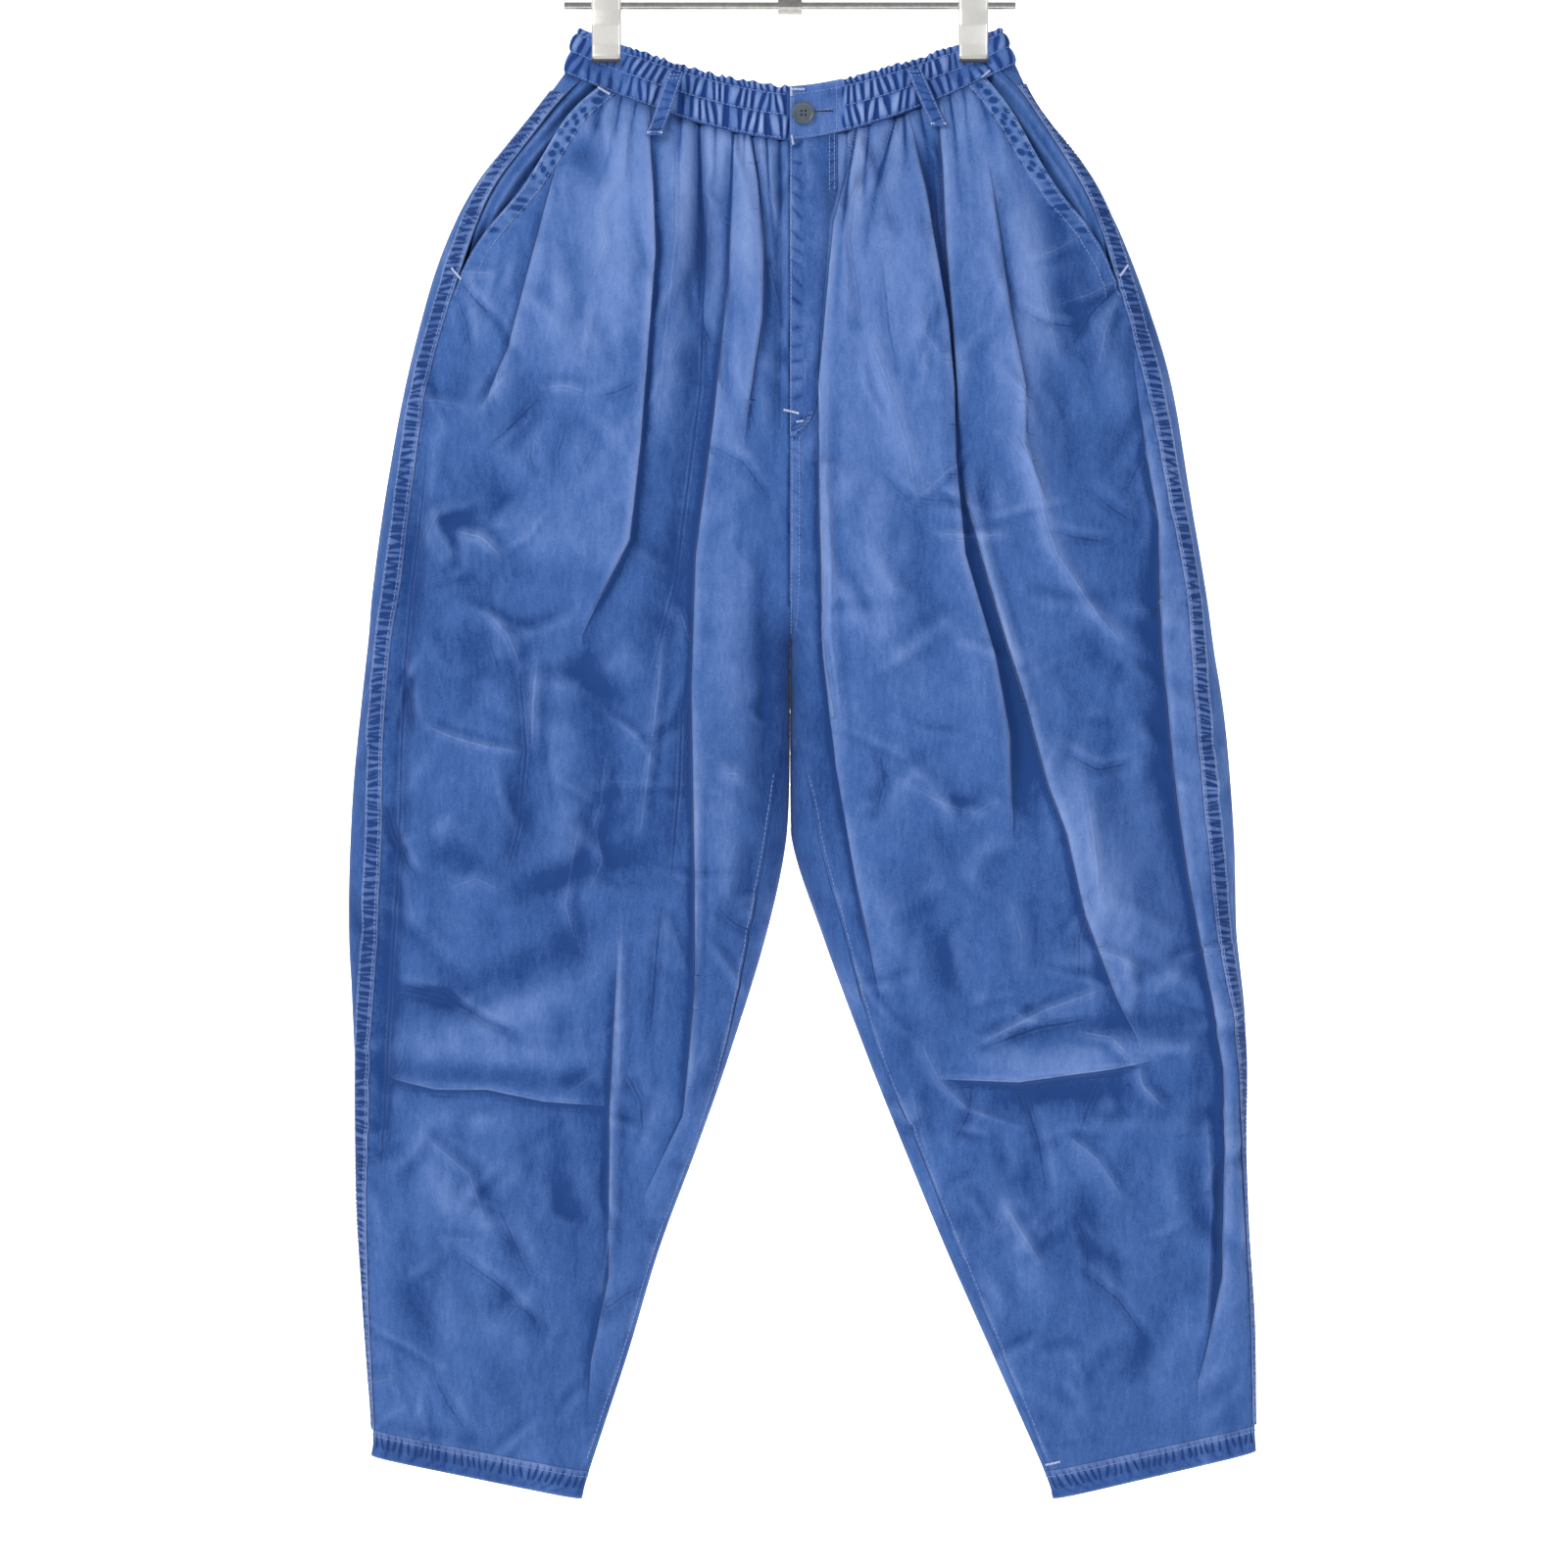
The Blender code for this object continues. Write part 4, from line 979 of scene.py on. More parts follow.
def washed_twill(name, deep, middle, light, pale_tone, contrast=1.0):
    """Cotton twill: fibre is dielectric, so roughness is high and only a little sheen shows."""
    material, tree, shader = new_material(name)
    place_in_room = node(tree, "ShaderNodeTexCoord").outputs["Object"]
    cloth_uv = node(tree, "ShaderNodeUVMap", uv_map="ClothUV").outputs["UV"]

    def noise(scale, detail, rough=0.55, vector=place_in_room, kind="FBM"):
        made_node = node(
            tree,
            "ShaderNodeTexNoise",
            {"Vector": vector, "Scale": scale, "Detail": detail, "Roughness": rough},
            noise_type=kind,
        )
        return made_node.outputs[0]

    def maths(operation, a, b, clamp=False):
        made_node = node(tree, "ShaderNodeMath", {0: a, 1: b}, operation=operation)
        made_node.use_clamp = clamp
        return made_node.outputs[0]

    add, less, times = (partial(maths, word) for word in ("ADD", "SUBTRACT", "MULTIPLY"))

    def written(key):
        return node(tree, "ShaderNodeAttribute", attribute_name=key).outputs["Fac"]

    stretched = node(
        tree, "ShaderNodeMapping", {"Vector": place_in_room, "Scale": (1.0, 1.0, 0.3)}
    ).outputs[0]
    clouds = less(noise(17, 5, 0.6), 0.5)
    blotches = less(noise(60, 4, 0.6, stretched), 0.5)
    streaks = less(noise(420, 3, 0.6, stretched), 0.5)
    fibres = less(noise(850, 2), 0.5)
    tone = maths("MULTIPLY_ADD", clouds, 0.45 * contrast)
    tone.node.inputs[2].default_value = 0.53
    for part, share in ((blotches, 0.45 * contrast), (streaks, 0.42), (fibres, 0.36)):
        tone = add(tone, times(part, share))
    off, size, kind = (written(key) for key in ("line_off", "line_size", "line_kind"))
    apart = maths("ABSOLUTE", off, 0.0)
    is_trough = maths("MAXIMUM", times(kind, -1.0), 0.0)
    trough = times(is_trough, less(apart, 0.7))
    ridge = times(maths("MAXIMUM", kind, 0.0), less(0.7, apart))
    plain = times(less(1.0, maths("ABSOLUTE", kind, 0.0)), off)
    along_line = add(plain, add(trough, ridge))

    def bell(centre, width):
        """A bell curve over the distance from the line: e to the power of minus its square."""
        share = maths("DIVIDE", less(along_line, centre), width)
        return maths("POWER", 2.718, times(times(share, share), -1.0))

    # Each crease line is painted: a dark line of painted shadow in the crease, and a pale line of
    # painted highlight and wear on its crest.
    wobble = add(0.35, times(noise(110, 3), 1.3))
    strength = times(size, wobble)
    crease_shadow_line = times(bell(-0.7, 0.75), strength)
    crease_highlight_and_wear = times(bell(0.75, 0.7), strength)
    # Painted shade darkens the tone, the painted shadow line darkens it more, and the painted
    # highlight line and the pale marks lighten it.
    tone = less(tone, times(written("shade"), 0.55))
    tone = less(tone, times(crease_shadow_line, 0.75))
    tone = add(tone, times(crease_highlight_and_wear, 0.35))
    tone = add(tone, times(written("frost"), 0.30), clamp=True)
    ramp = node(tree, "ShaderNodeValToRGB", {"Fac": tone})
    stops = ramp.color_ramp.elements
    stops.new(0.5)
    for stop, (position, shown) in zip(stops, ((0.12, deep), (0.5, middle), (0.95, light))):
        stop.position, stop.color = position, (*linear(shown), 1)
    # The pale marks, highlight and wear together, mix the colour towards the pale tone, patchily,
    # and less where shade is painted.
    patchy = add(0.55, times(blotches, 1.6))
    sheltered = less(1.0, times(written("shade"), 1.3), clamp=True)
    unshaded_pale = times(written("frost"), sheltered)
    pale_amount = add(unshaded_pale, times(crease_highlight_and_wear, 0.55))
    pale_mix = times(pale_amount, patchy, clamp=True)
    colour = node(
        tree,
        "ShaderNodeMix",
        {"Factor": pale_mix, 6: ramp.outputs["Color"], 7: pale_tone},
        data_type="RGBA",
    ).outputs[2]
    tree.links.new(colour, shader.inputs["Base Color"])

    crinkles = noise(95, 5, 0.55, kind="RIDGED_MULTIFRACTAL")
    dimples = noise(230, 4, 0.6)
    wrinkles = noise(25, 3, 0.5, kind="RIDGED_MULTIFRACTAL")
    twill = node(
        tree,
        "ShaderNodeTexWave",
        {"Vector": cloth_uv, "Scale": math.pi / (10 * TWILL_LINE_MM), "Distortion": 1.2},
        bands_direction="DIAGONAL",
    ).outputs["Fac"]
    normal = None
    sharp_step = less(crease_highlight_and_wear, times(crease_shadow_line, 1.6))
    for height, strength, distance in (
        (sharp_step, 0.8, 0.0010),
        (wrinkles, 0.6, 0.0042),
        (crinkles, 0.5, 0.0010),
        (dimples, 0.5, 0.0006),
        (twill, 0.16, 0.0003),
        (fibres, 0.25, 0.0002),
    ):
        links = {"Height": height, "Strength": strength, "Distance": distance}
        if normal is not None:
            links["Normal"] = normal
        normal = node(tree, "ShaderNodeBump", links).outputs["Normal"]
    tree.links.new(normal, shader.inputs["Normal"])
    shader.inputs["Roughness"].default_value = 0.88
    shader.inputs["Specular IOR Level"].default_value = 0.25
    shader.inputs["Sheen Weight"].default_value = 0.18
    shader.inputs["Sheen Roughness"].default_value = 0.45
    shader.inputs["Sheen Tint"].default_value = (*linear("#b9c8ea"), 1)
    return material


twill = washed_twill("washed_cotton_twill", "#143a76", "#385c9a", "#607db8", "#93a7d3")
seam_twill = washed_twill("puckered_seam_twill", "#10326c", "#325594", "#6480b8", "#a3b4da", 1.25)
band_twill = washed_twill("elastic_band_twill", "#0f3272", "#385d9e", "#6884bd", "#a0b1d9", 1.1)
print("three versions of one cloth")

# %% [markdown]
# ## The leg panels
# Four panels make the legs. A grid runs from the outer edge to the centre seam or inseam, and
# its columns crowd together where folds run down the cloth, so the sharp crests get enough
# points without wasting any on the flat parts. Along each slant pocket the front's edge
# stands a little off the body and is puckered by its two rows of topstitching.

# %% Panel surfaces
CROWDING, CROWD_REACH = 0.35, 5.0
POCKET_GAPE, POCKET_GAPE_REACH = 3.5, 22.0
POCKET_BAND, POCKET_PITCH = 12.0, 5.2
SEAM_PITCH = 6.4
RISE_BAND, RISE_PITCH = 8.0, 6.0
FLY_FOOT_DROP = 384.0
RISE_DROPS = (FLY_FOOT_DROP, 500.0)


def crowded(leg, start, end, count, folds, edge_extra=0.0):
    """Arc lengths whose spacing is the inverse of a density that peaks at the folds."""
    share = np.linspace(0, 1, 501)[None, :]
    arcs = start[:, None] + (end - start)[:, None] * share
    x = place(leg, arcs)[0]
    drop = drop_at(leg, x)
    density = np.ones_like(arcs)
    for fold in folds:
        if fold.run == "down":
            away, shown = fold_line(fold, leg.sign * x, drop)
            reach = fold.width + CROWD_REACH
            density += CROWDING * fold.height * shown * hump(away, reach)
    density += edge_extra * np.exp(-((np.abs(arcs - start[:, None]) / POCKET_BAND) ** 4))
    steps = (density[:, 1:] + density[:, :-1]) / 2 * np.diff(arcs, axis=1)
    total = np.concatenate([np.zeros((len(arcs), 1)), np.cumsum(steps, axis=1)], axis=1)
    return look_up(np.linspace(0, 1, count)[None, :] * total[:, -1:], total, arcs)


def puckers(along, across, width, seed, pitch):
    """Seam puckers: uneven slanting tucks between two stitch lines, flat at the lines."""
    rng = np.random.default_rng(seed)
    knot = np.arange(600)
    drift = np.interp(along / (1.7 * pitch), knot, rng.uniform(-0.34, 0.34, 600))
    size = 0.5 + 0.5 * np.interp(along / (1.3 * pitch), knot, rng.uniform(0, 1, 600))
    lean = np.interp(along / (2.1 * pitch), knot, rng.uniform(-0.9, 0.9, 600))
    share = np.clip(across / width, 0, 1)
    wave = np.abs(np.sin(math.pi * (along / pitch + drift + lean * (share - 0.5))))
    belly = np.clip(4 * share * (1 - share), 0, 1) ** 0.6
    return size * belly * wave**0.7, size * belly * (1 - wave) ** 2.8


def panel_relief(side, leg, arcs):
    """Front relief where the cloth is in front and back relief where it is behind."""
    x, y, _, _ = place(leg, arcs)
    drop = drop_at(leg, x)
    waist = SECTIONS[0]
    lift = waist.left_lift if side == "left" else 0
    share = np.clip(x / (waist.left_out if side == "left" else waist.right_out), 0, 2)
    seam_drop = waist.mid_drop + (waist.side_drop - lift - waist.mid_drop) * share**BAND_SAG_POWER
    relief = blank_relief(x.shape)
    for face, pick in (("front", y < 0), ("back", y >= 0)):
        if pick.any():
            below = (drop - seam_drop)[pick]
            part = cloth_relief(side, face, leg.sign * x[pick], drop[pick], below)
            write_back(relief, part, pick)
    return relief


def hang(leg, arcs, relief, moved_out):
    """Points of the cloth: the oval pushed outwards by the relief, and sideways at crests."""
    x, y, out_x, out_y = place(leg, arcs)
    fade = smoothstep(0, TIP_FADE, np.minimum(leg.out[:, None] - x, x - leg.inner[:, None]))
    push = fade * relief.lift + moved_out
    level = drop_at(leg, np.maximum(x + out_x * push, CENTRE_GAP / 2))
    x = np.maximum(x + out_x * push + fade * leg.sign * relief.slide, CENTRE_GAP / 2)
    return np.stack([leg.sign * x, y + out_y * push, -level], axis=-1)


def front_surface(side, leg, arcs):
    """Relief of a front panel with its sewn edges, and how far its pocket edge stands off."""
    relief = panel_relief(side, leg, arcs)
    start, end = front_arc(leg, leg.edge)[:, None], inner_end(leg, "front")[:, None]
    inwards, outwards = arcs - start, end - arcs
    drop = drop_at(leg, place(leg, arcs)[0])
    opening = smoothstep(2, 14, leg.seam - leg.edge)[:, None]
    tucks, clefts = puckers(drop, inwards, POCKET_BAND, 5, POCKET_PITCH)
    band = opening * (1 - smoothstep(POCKET_BAND - 1, POCKET_BAND + 1.5, inwards))
    groove = opening * hump(inwards - POCKET_BAND, 1.2)
    lift = relief.lift * (1 - 0.75 * band) + band * (0.5 + 1.1 * tucks) - 0.7 * groove
    # Painted: the pocket edge and its stitch line pale as wear, the pucker tops pale as highlight
    # and wear, and shade in the pucker clefts and in the groove beside the band.
    frost = relief.frost * (1 - 0.6 * band) + 0.6 * opening * hump(inwards, 1.3)
    stitched = hump(inwards - POCKET_BAND + 1.5, 0.9)
    frost = frost + 0.22 * band * (1 - clefts) + 0.3 * opening * stitched
    shade = relief.shade * (1 - 0.6 * band) + 4.2 * band * clefts + 0.05 * band + 0.25 * groove
    seam_side = (1 - opening) * np.exp(-inwards / 5)
    tucks, clefts = puckers(drop, inwards + 5, 10, 9, SEAM_PITCH)
    lift = lift + seam_side * 0.7 * tucks
    # Painted shade in the clefts of the side seam's puckers.
    shade = shade + seam_side * 0.5 * clefts
    slide = relief.slide * smoothstep(0, 3, outwards)
    calm = np.ones_like(lift)
    if side == "left":
        fly = (1 - smoothstep(FLY_WIDTH, FLY_WIDTH + 6, outwards)) * (drop < FLY_FOOT_DROP + 20)
        calm = 1 - 0.5 * fly
        rise = smoothstep(RISE_DROPS[0] - 6, RISE_DROPS[0], drop)
        rise = rise * (1 - smoothstep(RISE_DROPS[1] - 30, RISE_DROPS[1], drop))
        rise = rise * (1 - smoothstep(RISE_BAND - 1, RISE_BAND + 1, outwards))
        tucks, clefts = puckers(drop, outwards, RISE_BAND, 7, RISE_PITCH)
        lift = lift * calm + rise * (0.5 + 0.6 * tucks)
        # Painted shade in the clefts of the rise seam's puckers.
        shade = shade * calm + rise * 0.9 * clefts
        frost = frost + rise * 0.10
    else:
        # Painted shadow along the right front's inner edge, where the fly laps over it.
        gap = (drop < RISE_DROPS[1]) * hump(outwards, 1.6)
        shade = shade + 0.9 * gap
    inseam = smoothstep(640, 700, drop) * hump(outwards - 2.5, 1.6)
    lift = lift * (0.4 + 0.6 * smoothstep(0, 4, outwards)) + 0.25 * inseam
    frost = frost + 0.35 * inseam * smoothstep(-0.3, 0.6, np.sin(drop / 7.3))
    gape = POCKET_GAPE * opening * np.exp(-inwards / POCKET_GAPE_REACH)
    size = relief.size * (1 - band) * calm
    return relief._replace(lift=lift, slide=slide, frost=frost, shade=shade, size=size), gape


def section_numbers(count, first=0.0, last=float(HEM_ROW)):
    """Fractional section numbers at even steps down the middle of the leg."""
    fine = np.linspace(first, last, 2000)
    drops = curve_through([(row.side_drop + row.mid_drop) / 2 for row in SECTIONS], fine)
    return np.interp(np.linspace(drops[0], drops[-1], count), drops, fine)


print("puckers every", SEAM_PITCH, "mm on the side seams")

# %% Fronts and backs
FRONT_GRID = (372, 128)
BACK_GRID = (260, 72)


def panel_rows(count):
    """Section numbers of a panel's rows, one of them exactly at the crotch."""
    rows = section_numbers(count)
    rows[np.abs(rows - CROTCH_ROW).argmin()] = CROTCH_ROW
    return rows


tops = {}
for side in ("right", "left"):
    leg = leg_rows(side, panel_rows(FRONT_GRID[0]))
    start, end = front_arc(leg, leg.edge), inner_end(leg, "front")
    arcs = crowded(leg, start, end, FRONT_GRID[1], FRONT_FOLDS, edge_extra=1.4)
    relief, gape = front_surface(side, leg, arcs)
    outer, inner = (hang(leg, arcs, relief, gape - wall) for wall in (0, CLOTH_WALL))
    piece = cloth_piece(
        f"front_panel_{side}", outer, inner, twill, marks_of(relief), flip=side == "left"
    )
    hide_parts(f"front_{side}")
    tops["front", side] = outer

    leg = leg_rows(side, panel_rows(BACK_GRID[0]))
    end = leg.arc[:, -1] + front_arc(leg, leg.seam) - SEAM_GAP
    arcs = crowded(leg, inner_end(leg, "back"), end, BACK_GRID[1], BACK_FOLDS)
    tip = leg.arc[:, OVAL_STEPS]
    nearest = np.maximum(np.abs(arcs - tip[:, None]).argmin(axis=1), 1)
    rows = np.flatnonzero(~leg.above)
    arcs[rows, nearest[rows]] = tip[rows]
    relief = panel_relief(side, leg, arcs)
    outer, inner = (hang(leg, arcs, relief, -wall) for wall in (0, CLOTH_WALL))
    piece = cloth_piece(
        f"back_panel_{side}", outer, inner, twill, marks_of(relief), flip=side == "left"
    )
    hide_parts(f"back_{side}")
    tops["back", side] = outer

# %% [markdown]
# ## The ruffled waistband
# Elastic runs in two channels, one above the other. It was sewn in stretched, so when it
# springs back the cloth is bunched into plump ridges with sharp valleys between them. The
# ridges of the two channels don't line up, and above them a narrow header is crimped into a
# wavy edge. Under the hanger's clips the ruffle is pressed flat. The front end is a plain
# buttoned tab that lies over the other end.

# %% Waistband
BAND_TOP_DROP_MID, BAND_TOP_DROP_SIDE = 150.5, 110.0
BAND_TOP_HALF_WIDTH = 142.0
BAND_TOP_DEPTH, BAND_SEAM_DEPTH = 7.5, 8.5
TAB_LENGTH, TAB_RAMP = 34.0, 10.0
CLIP_X, CLIP_PINCH_HALF_DEPTH, CLIP_PINCH_REACH, CLIP_PINCH_POWER = 123.5, 3.0, 17.0, 6
CLIP_HOLD_HEIGHTS = 0.55, 1.0
CLIP_PINCH_SHARE = 0.88
BAND_ROWS, BAND_COLUMNS, TAB_COLUMNS, TAIL_COLUMNS = 28, 1000, 40, 12
BAND_STITCHES = (0.13, 0.53, 0.97)  # the heights of the lines that part the channels
STITCH_SHARE = 0.035
VALLEY_SHADE, CREST_HIGHLIGHT_AND_WEAR = 7.5, 0.8
NEAR_CLIP_REACH, NEAR_CLIP_CALM = 32.0, 0.45
HEADER_HEIGHT, HEADER_JAG, JAG_PITCH = 0.14, 1.5, 2.4
Band = namedtuple("Band", "heights left right x y arc")
Channel = namedtuple("Channel", "top foot pitch least most puff seed")
CHANNELS = [
    Channel(0.0, 0.15, 4.1, 0.7, 1.9, 0.0, 71),
    Channel(*BAND_STITCHES[:2], 5.6, 0.7, 2.9, 0.9, 72),
    Channel(*BAND_STITCHES[1:], 6.6, 0.6, 2.9, 0.9, 73),
]


def clip_zone(x):
    """One under the clips, falling to zero away from them."""
    return np.exp(-(((np.abs(x) - CLIP_X) / CLIP_PINCH_REACH) ** CLIP_PINCH_POWER))


def band_rows(heights):
    """The waistband's ovals from its top edge at 0 to its seam at 1, pinched by the clips."""
    waist = SECTIONS[0]
    left = BAND_TOP_HALF_WIDTH + (waist.left_out - BAND_TOP_HALF_WIDTH) * heights
    right = BAND_TOP_HALF_WIDTH + (waist.right_out - BAND_TOP_HALF_WIDTH) * heights
    x, y = oval(-right, left, BAND_TOP_DEPTH + (BAND_SEAM_DEPTH - BAND_TOP_DEPTH) * heights)
    hold = clip_zone(x) * (1 - smoothstep(*CLIP_HOLD_HEIGHTS, heights))[:, None]
    plain = np.abs(y)
    pinched = np.minimum(plain, CLIP_PINCH_HALF_DEPTH)
    y = np.sign(y) * (plain + (pinched - plain) * hold)
    return Band(heights, left, right, x, y, arc_lengths(x, y))


def band_drop(band, x):
    """A level line of the band: it sags towards the centre like the waist seam."""
    waist = SECTIONS[0]
    half = np.where(x > 0, band.left[:, None], band.right[:, None])
    sag = (np.abs(x) / half) ** BAND_SAG_POWER
    top = BAND_TOP_DROP_MID + (BAND_TOP_DROP_SIDE - BAND_TOP_DROP_MID) * sag
    side_drop = waist.side_drop - np.where(x > 0, waist.left_lift, 0)
    seam = waist.mid_drop + (side_drop - waist.mid_drop) * sag
    return top + (seam - SEAM_GAP - top) * band.heights[:, None]


def band_points(band, arcs, moved, lowered):
    """Points of the band: its ovals pushed outwards, and its upper edge lowered in places."""
    x, y, out_x, out_y = place(band, arcs)
    x = x + out_x * moved
    return np.stack([x, y + out_y * moved, -band_drop(band, x) - lowered], axis=-1)


def ridges(channel, along, heights):
    """Plump ridges: |sin| to a power below one has round tops and sharp valleys."""
    rng = np.random.default_rng(channel.seed)
    knot = np.arange(200)

    def wander(scale, low, high):
        return np.interp(along / scale, knot, rng.uniform(low, high, 200))

    share = np.clip((heights - channel.top) / (channel.foot - channel.top), 0, 1)
    lean = wander(9, -0.9, 0.9) * (share - 0.5)
    wave = np.abs(np.sin(math.pi * (along / channel.pitch + wander(9, -0.4, 0.4) + lean)))
    size = wander(channel.pitch, channel.least, channel.most)
    inside = (heights > channel.top) & (heights < channel.foot)
    belly = inside * np.clip(4 * share * (1 - share), 0, 1) ** 0.45
    if channel.top == 0:
        belly = inside * np.clip(1.3 * (1 - share), 0, 1) ** 0.6
    depth = wander(1.3 * channel.pitch, 0.35, 1.35)
    rise = belly * (size * wave**0.6 + channel.puff)
    return rise, belly * depth * (1 - wave) ** 2.6, belly * wave**2 * size / channel.most


heights = np.linspace(0, 1, BAND_ROWS)
band = band_rows(heights)
length = band.arc[:, -1:]
mean_length = length.mean()
tab = np.linspace(0, TAB_LENGTH, TAB_COLUMNS)
ruffled = np.linspace(0, 1, BAND_COLUMNS)[1:]
tail = TAB_LENGTH * np.linspace(0.05, 1.0, TAIL_COLUMNS)
along = np.concatenate(
    [
        np.tile(tab, (BAND_ROWS, 1)),
        TAB_LENGTH + (length - TAB_LENGTH) * ruffled,
        length + tail,
    ],
    axis=1,
)
even = np.tile(
    np.concatenate([tab, TAB_LENGTH + (mean_length - TAB_LENGTH) * ruffled, mean_length + tail]),
    (BAND_ROWS, 1),
)
front_half = slice(0, OVAL_STEPS + 1)
start = look_up(np.zeros((BAND_ROWS, 1)), -band.x[:, front_half], band.arc[:, front_half])
band_arcs = start - along
band_x = place(band, band_arcs)[0]
free = smoothstep(TAB_LENGTH, TAB_LENGTH + 5, even)
free = free * (1 - smoothstep(mean_length - 3, mean_length, even))
held_here = (1 - smoothstep(0.6, 1.0, heights))[:, None]
free = free * (1 - CLIP_PINCH_SHARE * clip_zone(band_x) * held_here)
near_clip = np.exp(-(((np.abs(band_x) - CLIP_X) / NEAR_CLIP_REACH) ** 4))
near_clip = near_clip * smoothstep(0.5, 0.6, heights)[:, None]
free = free * (1 - NEAR_CLIP_CALM * near_clip)
lift, frost, shade = (np.zeros_like(even) for _ in range(3))
# Painted shade in the ruffles' valleys, and painted highlight with wear on their crests.
for channel in CHANNELS:
    rise, valley, crest = ridges(channel, even, heights[:, None])
    lift += free * rise
    shade += VALLEY_SHADE * free * valley
    frost += CREST_HIGHLIGHT_AND_WEAR * free * crest
# The stitch lines sink the cloth and are also painted darker, as shade.
stitched = sum(hump(heights - row, STITCH_SHARE) for row in BAND_STITCHES)[:, None]
lift -= 0.5 * free * stitched
shade += 0.28 * free * stitched
header = free * (1 - smoothstep(0, HEADER_HEIGHT, heights))[:, None]
rng = np.random.default_rng(77)
jag = np.interp(even / JAG_PITCH, np.arange(400), rng.uniform(-1, 1, 400))
lowered = HEADER_JAG * header * jag
frost += 0.35 * hump(heights, 0.03)[:, None]
on_tab = 1 - smoothstep(TAB_LENGTH, TAB_LENGTH + TAB_RAMP, even)
ripple = 0.35 * on_tab * np.sin(even / 2.6) * np.sin(9 * heights)[:, None]
lift += (BAND_WALL + SEAM_GAP) * on_tab + ripple
frost += on_tab * (0.5 * hump(even, 1.0) + 0.08)
# Painted shade along a crease across the tab.
tab_crease = hump(heights - 0.25, 0.12)[:, None]
shade += 0.35 * on_tab * tab_crease * smoothstep(14, 30, even)
outer = band_points(band, band_arcs, lift, lowered)
inner = band_points(band, band_arcs, lift - BAND_WALL, lowered)
marks = {"frost": frost, "shade": shade}
piece = cloth_piece("elastic_waistband", outer, inner, band_twill, marks, flip=True)
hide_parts("waistband")
tops["band"] = outer

# %% [markdown]
# ## Side seams, fly and pocket facings
# A felled side seam is several layers thick, and the topstitching draws it into a ladder of
# little dark tucks. The fly is a faced flap over the left front, cut off at its foot by the
# curved line of stitching that looks like a J. Inside each slant pocket a facing shows.

# %% Side seams
STRIP_GRID = (1000, 8)
STRIP_TOP, STRIP_RIM, CROSSING_PITCH = 0.5, 1.6, 4.1
SEAM_STITCH, EDGE_STITCH, LOOP_STITCH = 3.0, 2.9, 2.6  # lengths of the stitches
threads = []  # each is a path of points, the directions outwards there, and a pitch


def outwards_at(leg, arcs):
    """The direction outwards at each arc length, level and of length one."""
    _, _, out_x, out_y = place(leg, arcs)
    return np.stack([leg.sign * out_x, out_y, np.zeros_like(out_x)], axis=-1)


for side in ("right", "left"):
    leg = leg_rows(side, section_numbers(STRIP_GRID[0], STRIP_TOP))
    end = leg.arc[:, -1:] + front_arc(leg, leg.seam)[:, None] - SEAM_GAP
    across = np.linspace(0, SEAM_STRIP_WIDTH, STRIP_GRID[1])[None, :]
    arcs = end - SEAM_STRIP_WIDTH + across
    relief = panel_relief(side, leg, arcs)
    drop = drop_at(leg, place(leg, arcs)[0])
    tucks, clefts = puckers(drop, across + 0 * drop, SEAM_STRIP_WIDTH, 15, SEAM_PITCH)
    from_far = SEAM_STRIP_WIDTH - across + 0 * drop
    crossing, notches = puckers(drop, from_far, SEAM_STRIP_WIDTH, 16, CROSSING_PITCH)
    tucks, clefts = 0.6 * (tucks + crossing), np.maximum(clefts, notches)
    edge = np.minimum(across, SEAM_STRIP_WIDTH - across) + 0 * drop
    rim = hump(edge, STRIP_RIM)
    shaped = relief._replace(lift=relief.lift + 1.1 * tucks)
    moved = SEAM_GAP + STRIP_WALL
    outer, inner = hang(leg, arcs, shaped, moved), hang(leg, arcs, relief, moved - STRIP_WALL)
    # Painted: pale rims as wear, pale pucker tops as highlight and wear, painted shade in the
    # clefts, and the middle a little darker than the rims.
    frost = 0.5 * relief.frost + 0.32 * rim + 0.22 * (1 - clefts)
    shade = 0.5 * relief.shade + 2.6 * clefts + 0.12 * (1 - rim)
    marks = {"frost": frost, "shade": shade}
    name = f"felled_side_seam_{side}"
    piece = cloth_piece(name, outer, inner, seam_twill, marks, flip=side == "left")
    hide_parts(f"side_seam_{side}")
    tops["strip", side] = outer
    out = outwards_at(leg, arcs)
    for column in (1, STRIP_GRID[1] - 2):
        threads.append((outer[:, column], out[:, column], EDGE_STITCH))

# %% Fly
FLY_GRID = (220, 30)
FLY_FOOT_SECTION = 4.54
FLY_CURVE_DROP = 352.0
FLY_LEAST = 19.0
FOLD_BESIDE_FLY = 11  # the row of the front's fold that the flap's free edge stays clear of
leg = leg_rows("left", section_numbers(FLY_GRID[0], 0.0, FLY_FOOT_SECTION))
end = inner_end(leg, "front")[:, None]
row_drop = leg.mid_drop[:, None]
beside_flap = [(drop, x - 3.5) for x, drop in FRONT_FOLDS[FOLD_BESIDE_FLY].path]
flap_x = np.interp(row_drop, *zip(*beside_flap))
corner = np.clip((row_drop - FLY_CURVE_DROP) / (FLY_FOOT_DROP - FLY_CURVE_DROP), 0, 1)
wide = np.minimum(FLY_WIDTH, np.maximum(flap_x, FLY_LEAST))
wide = wide * (0.22 + 0.78 * np.sqrt(1 - 0.999 * corner**2))
from_edge = wide * np.linspace(1, 0, FLY_GRID[1])[None, :]
arcs = end - from_edge
relief, _ = front_surface("left", leg, arcs)
drop = drop_at(leg, place(leg, arcs)[0])
tucks, clefts = puckers(drop, from_edge, 9.0, 17, 12.5)
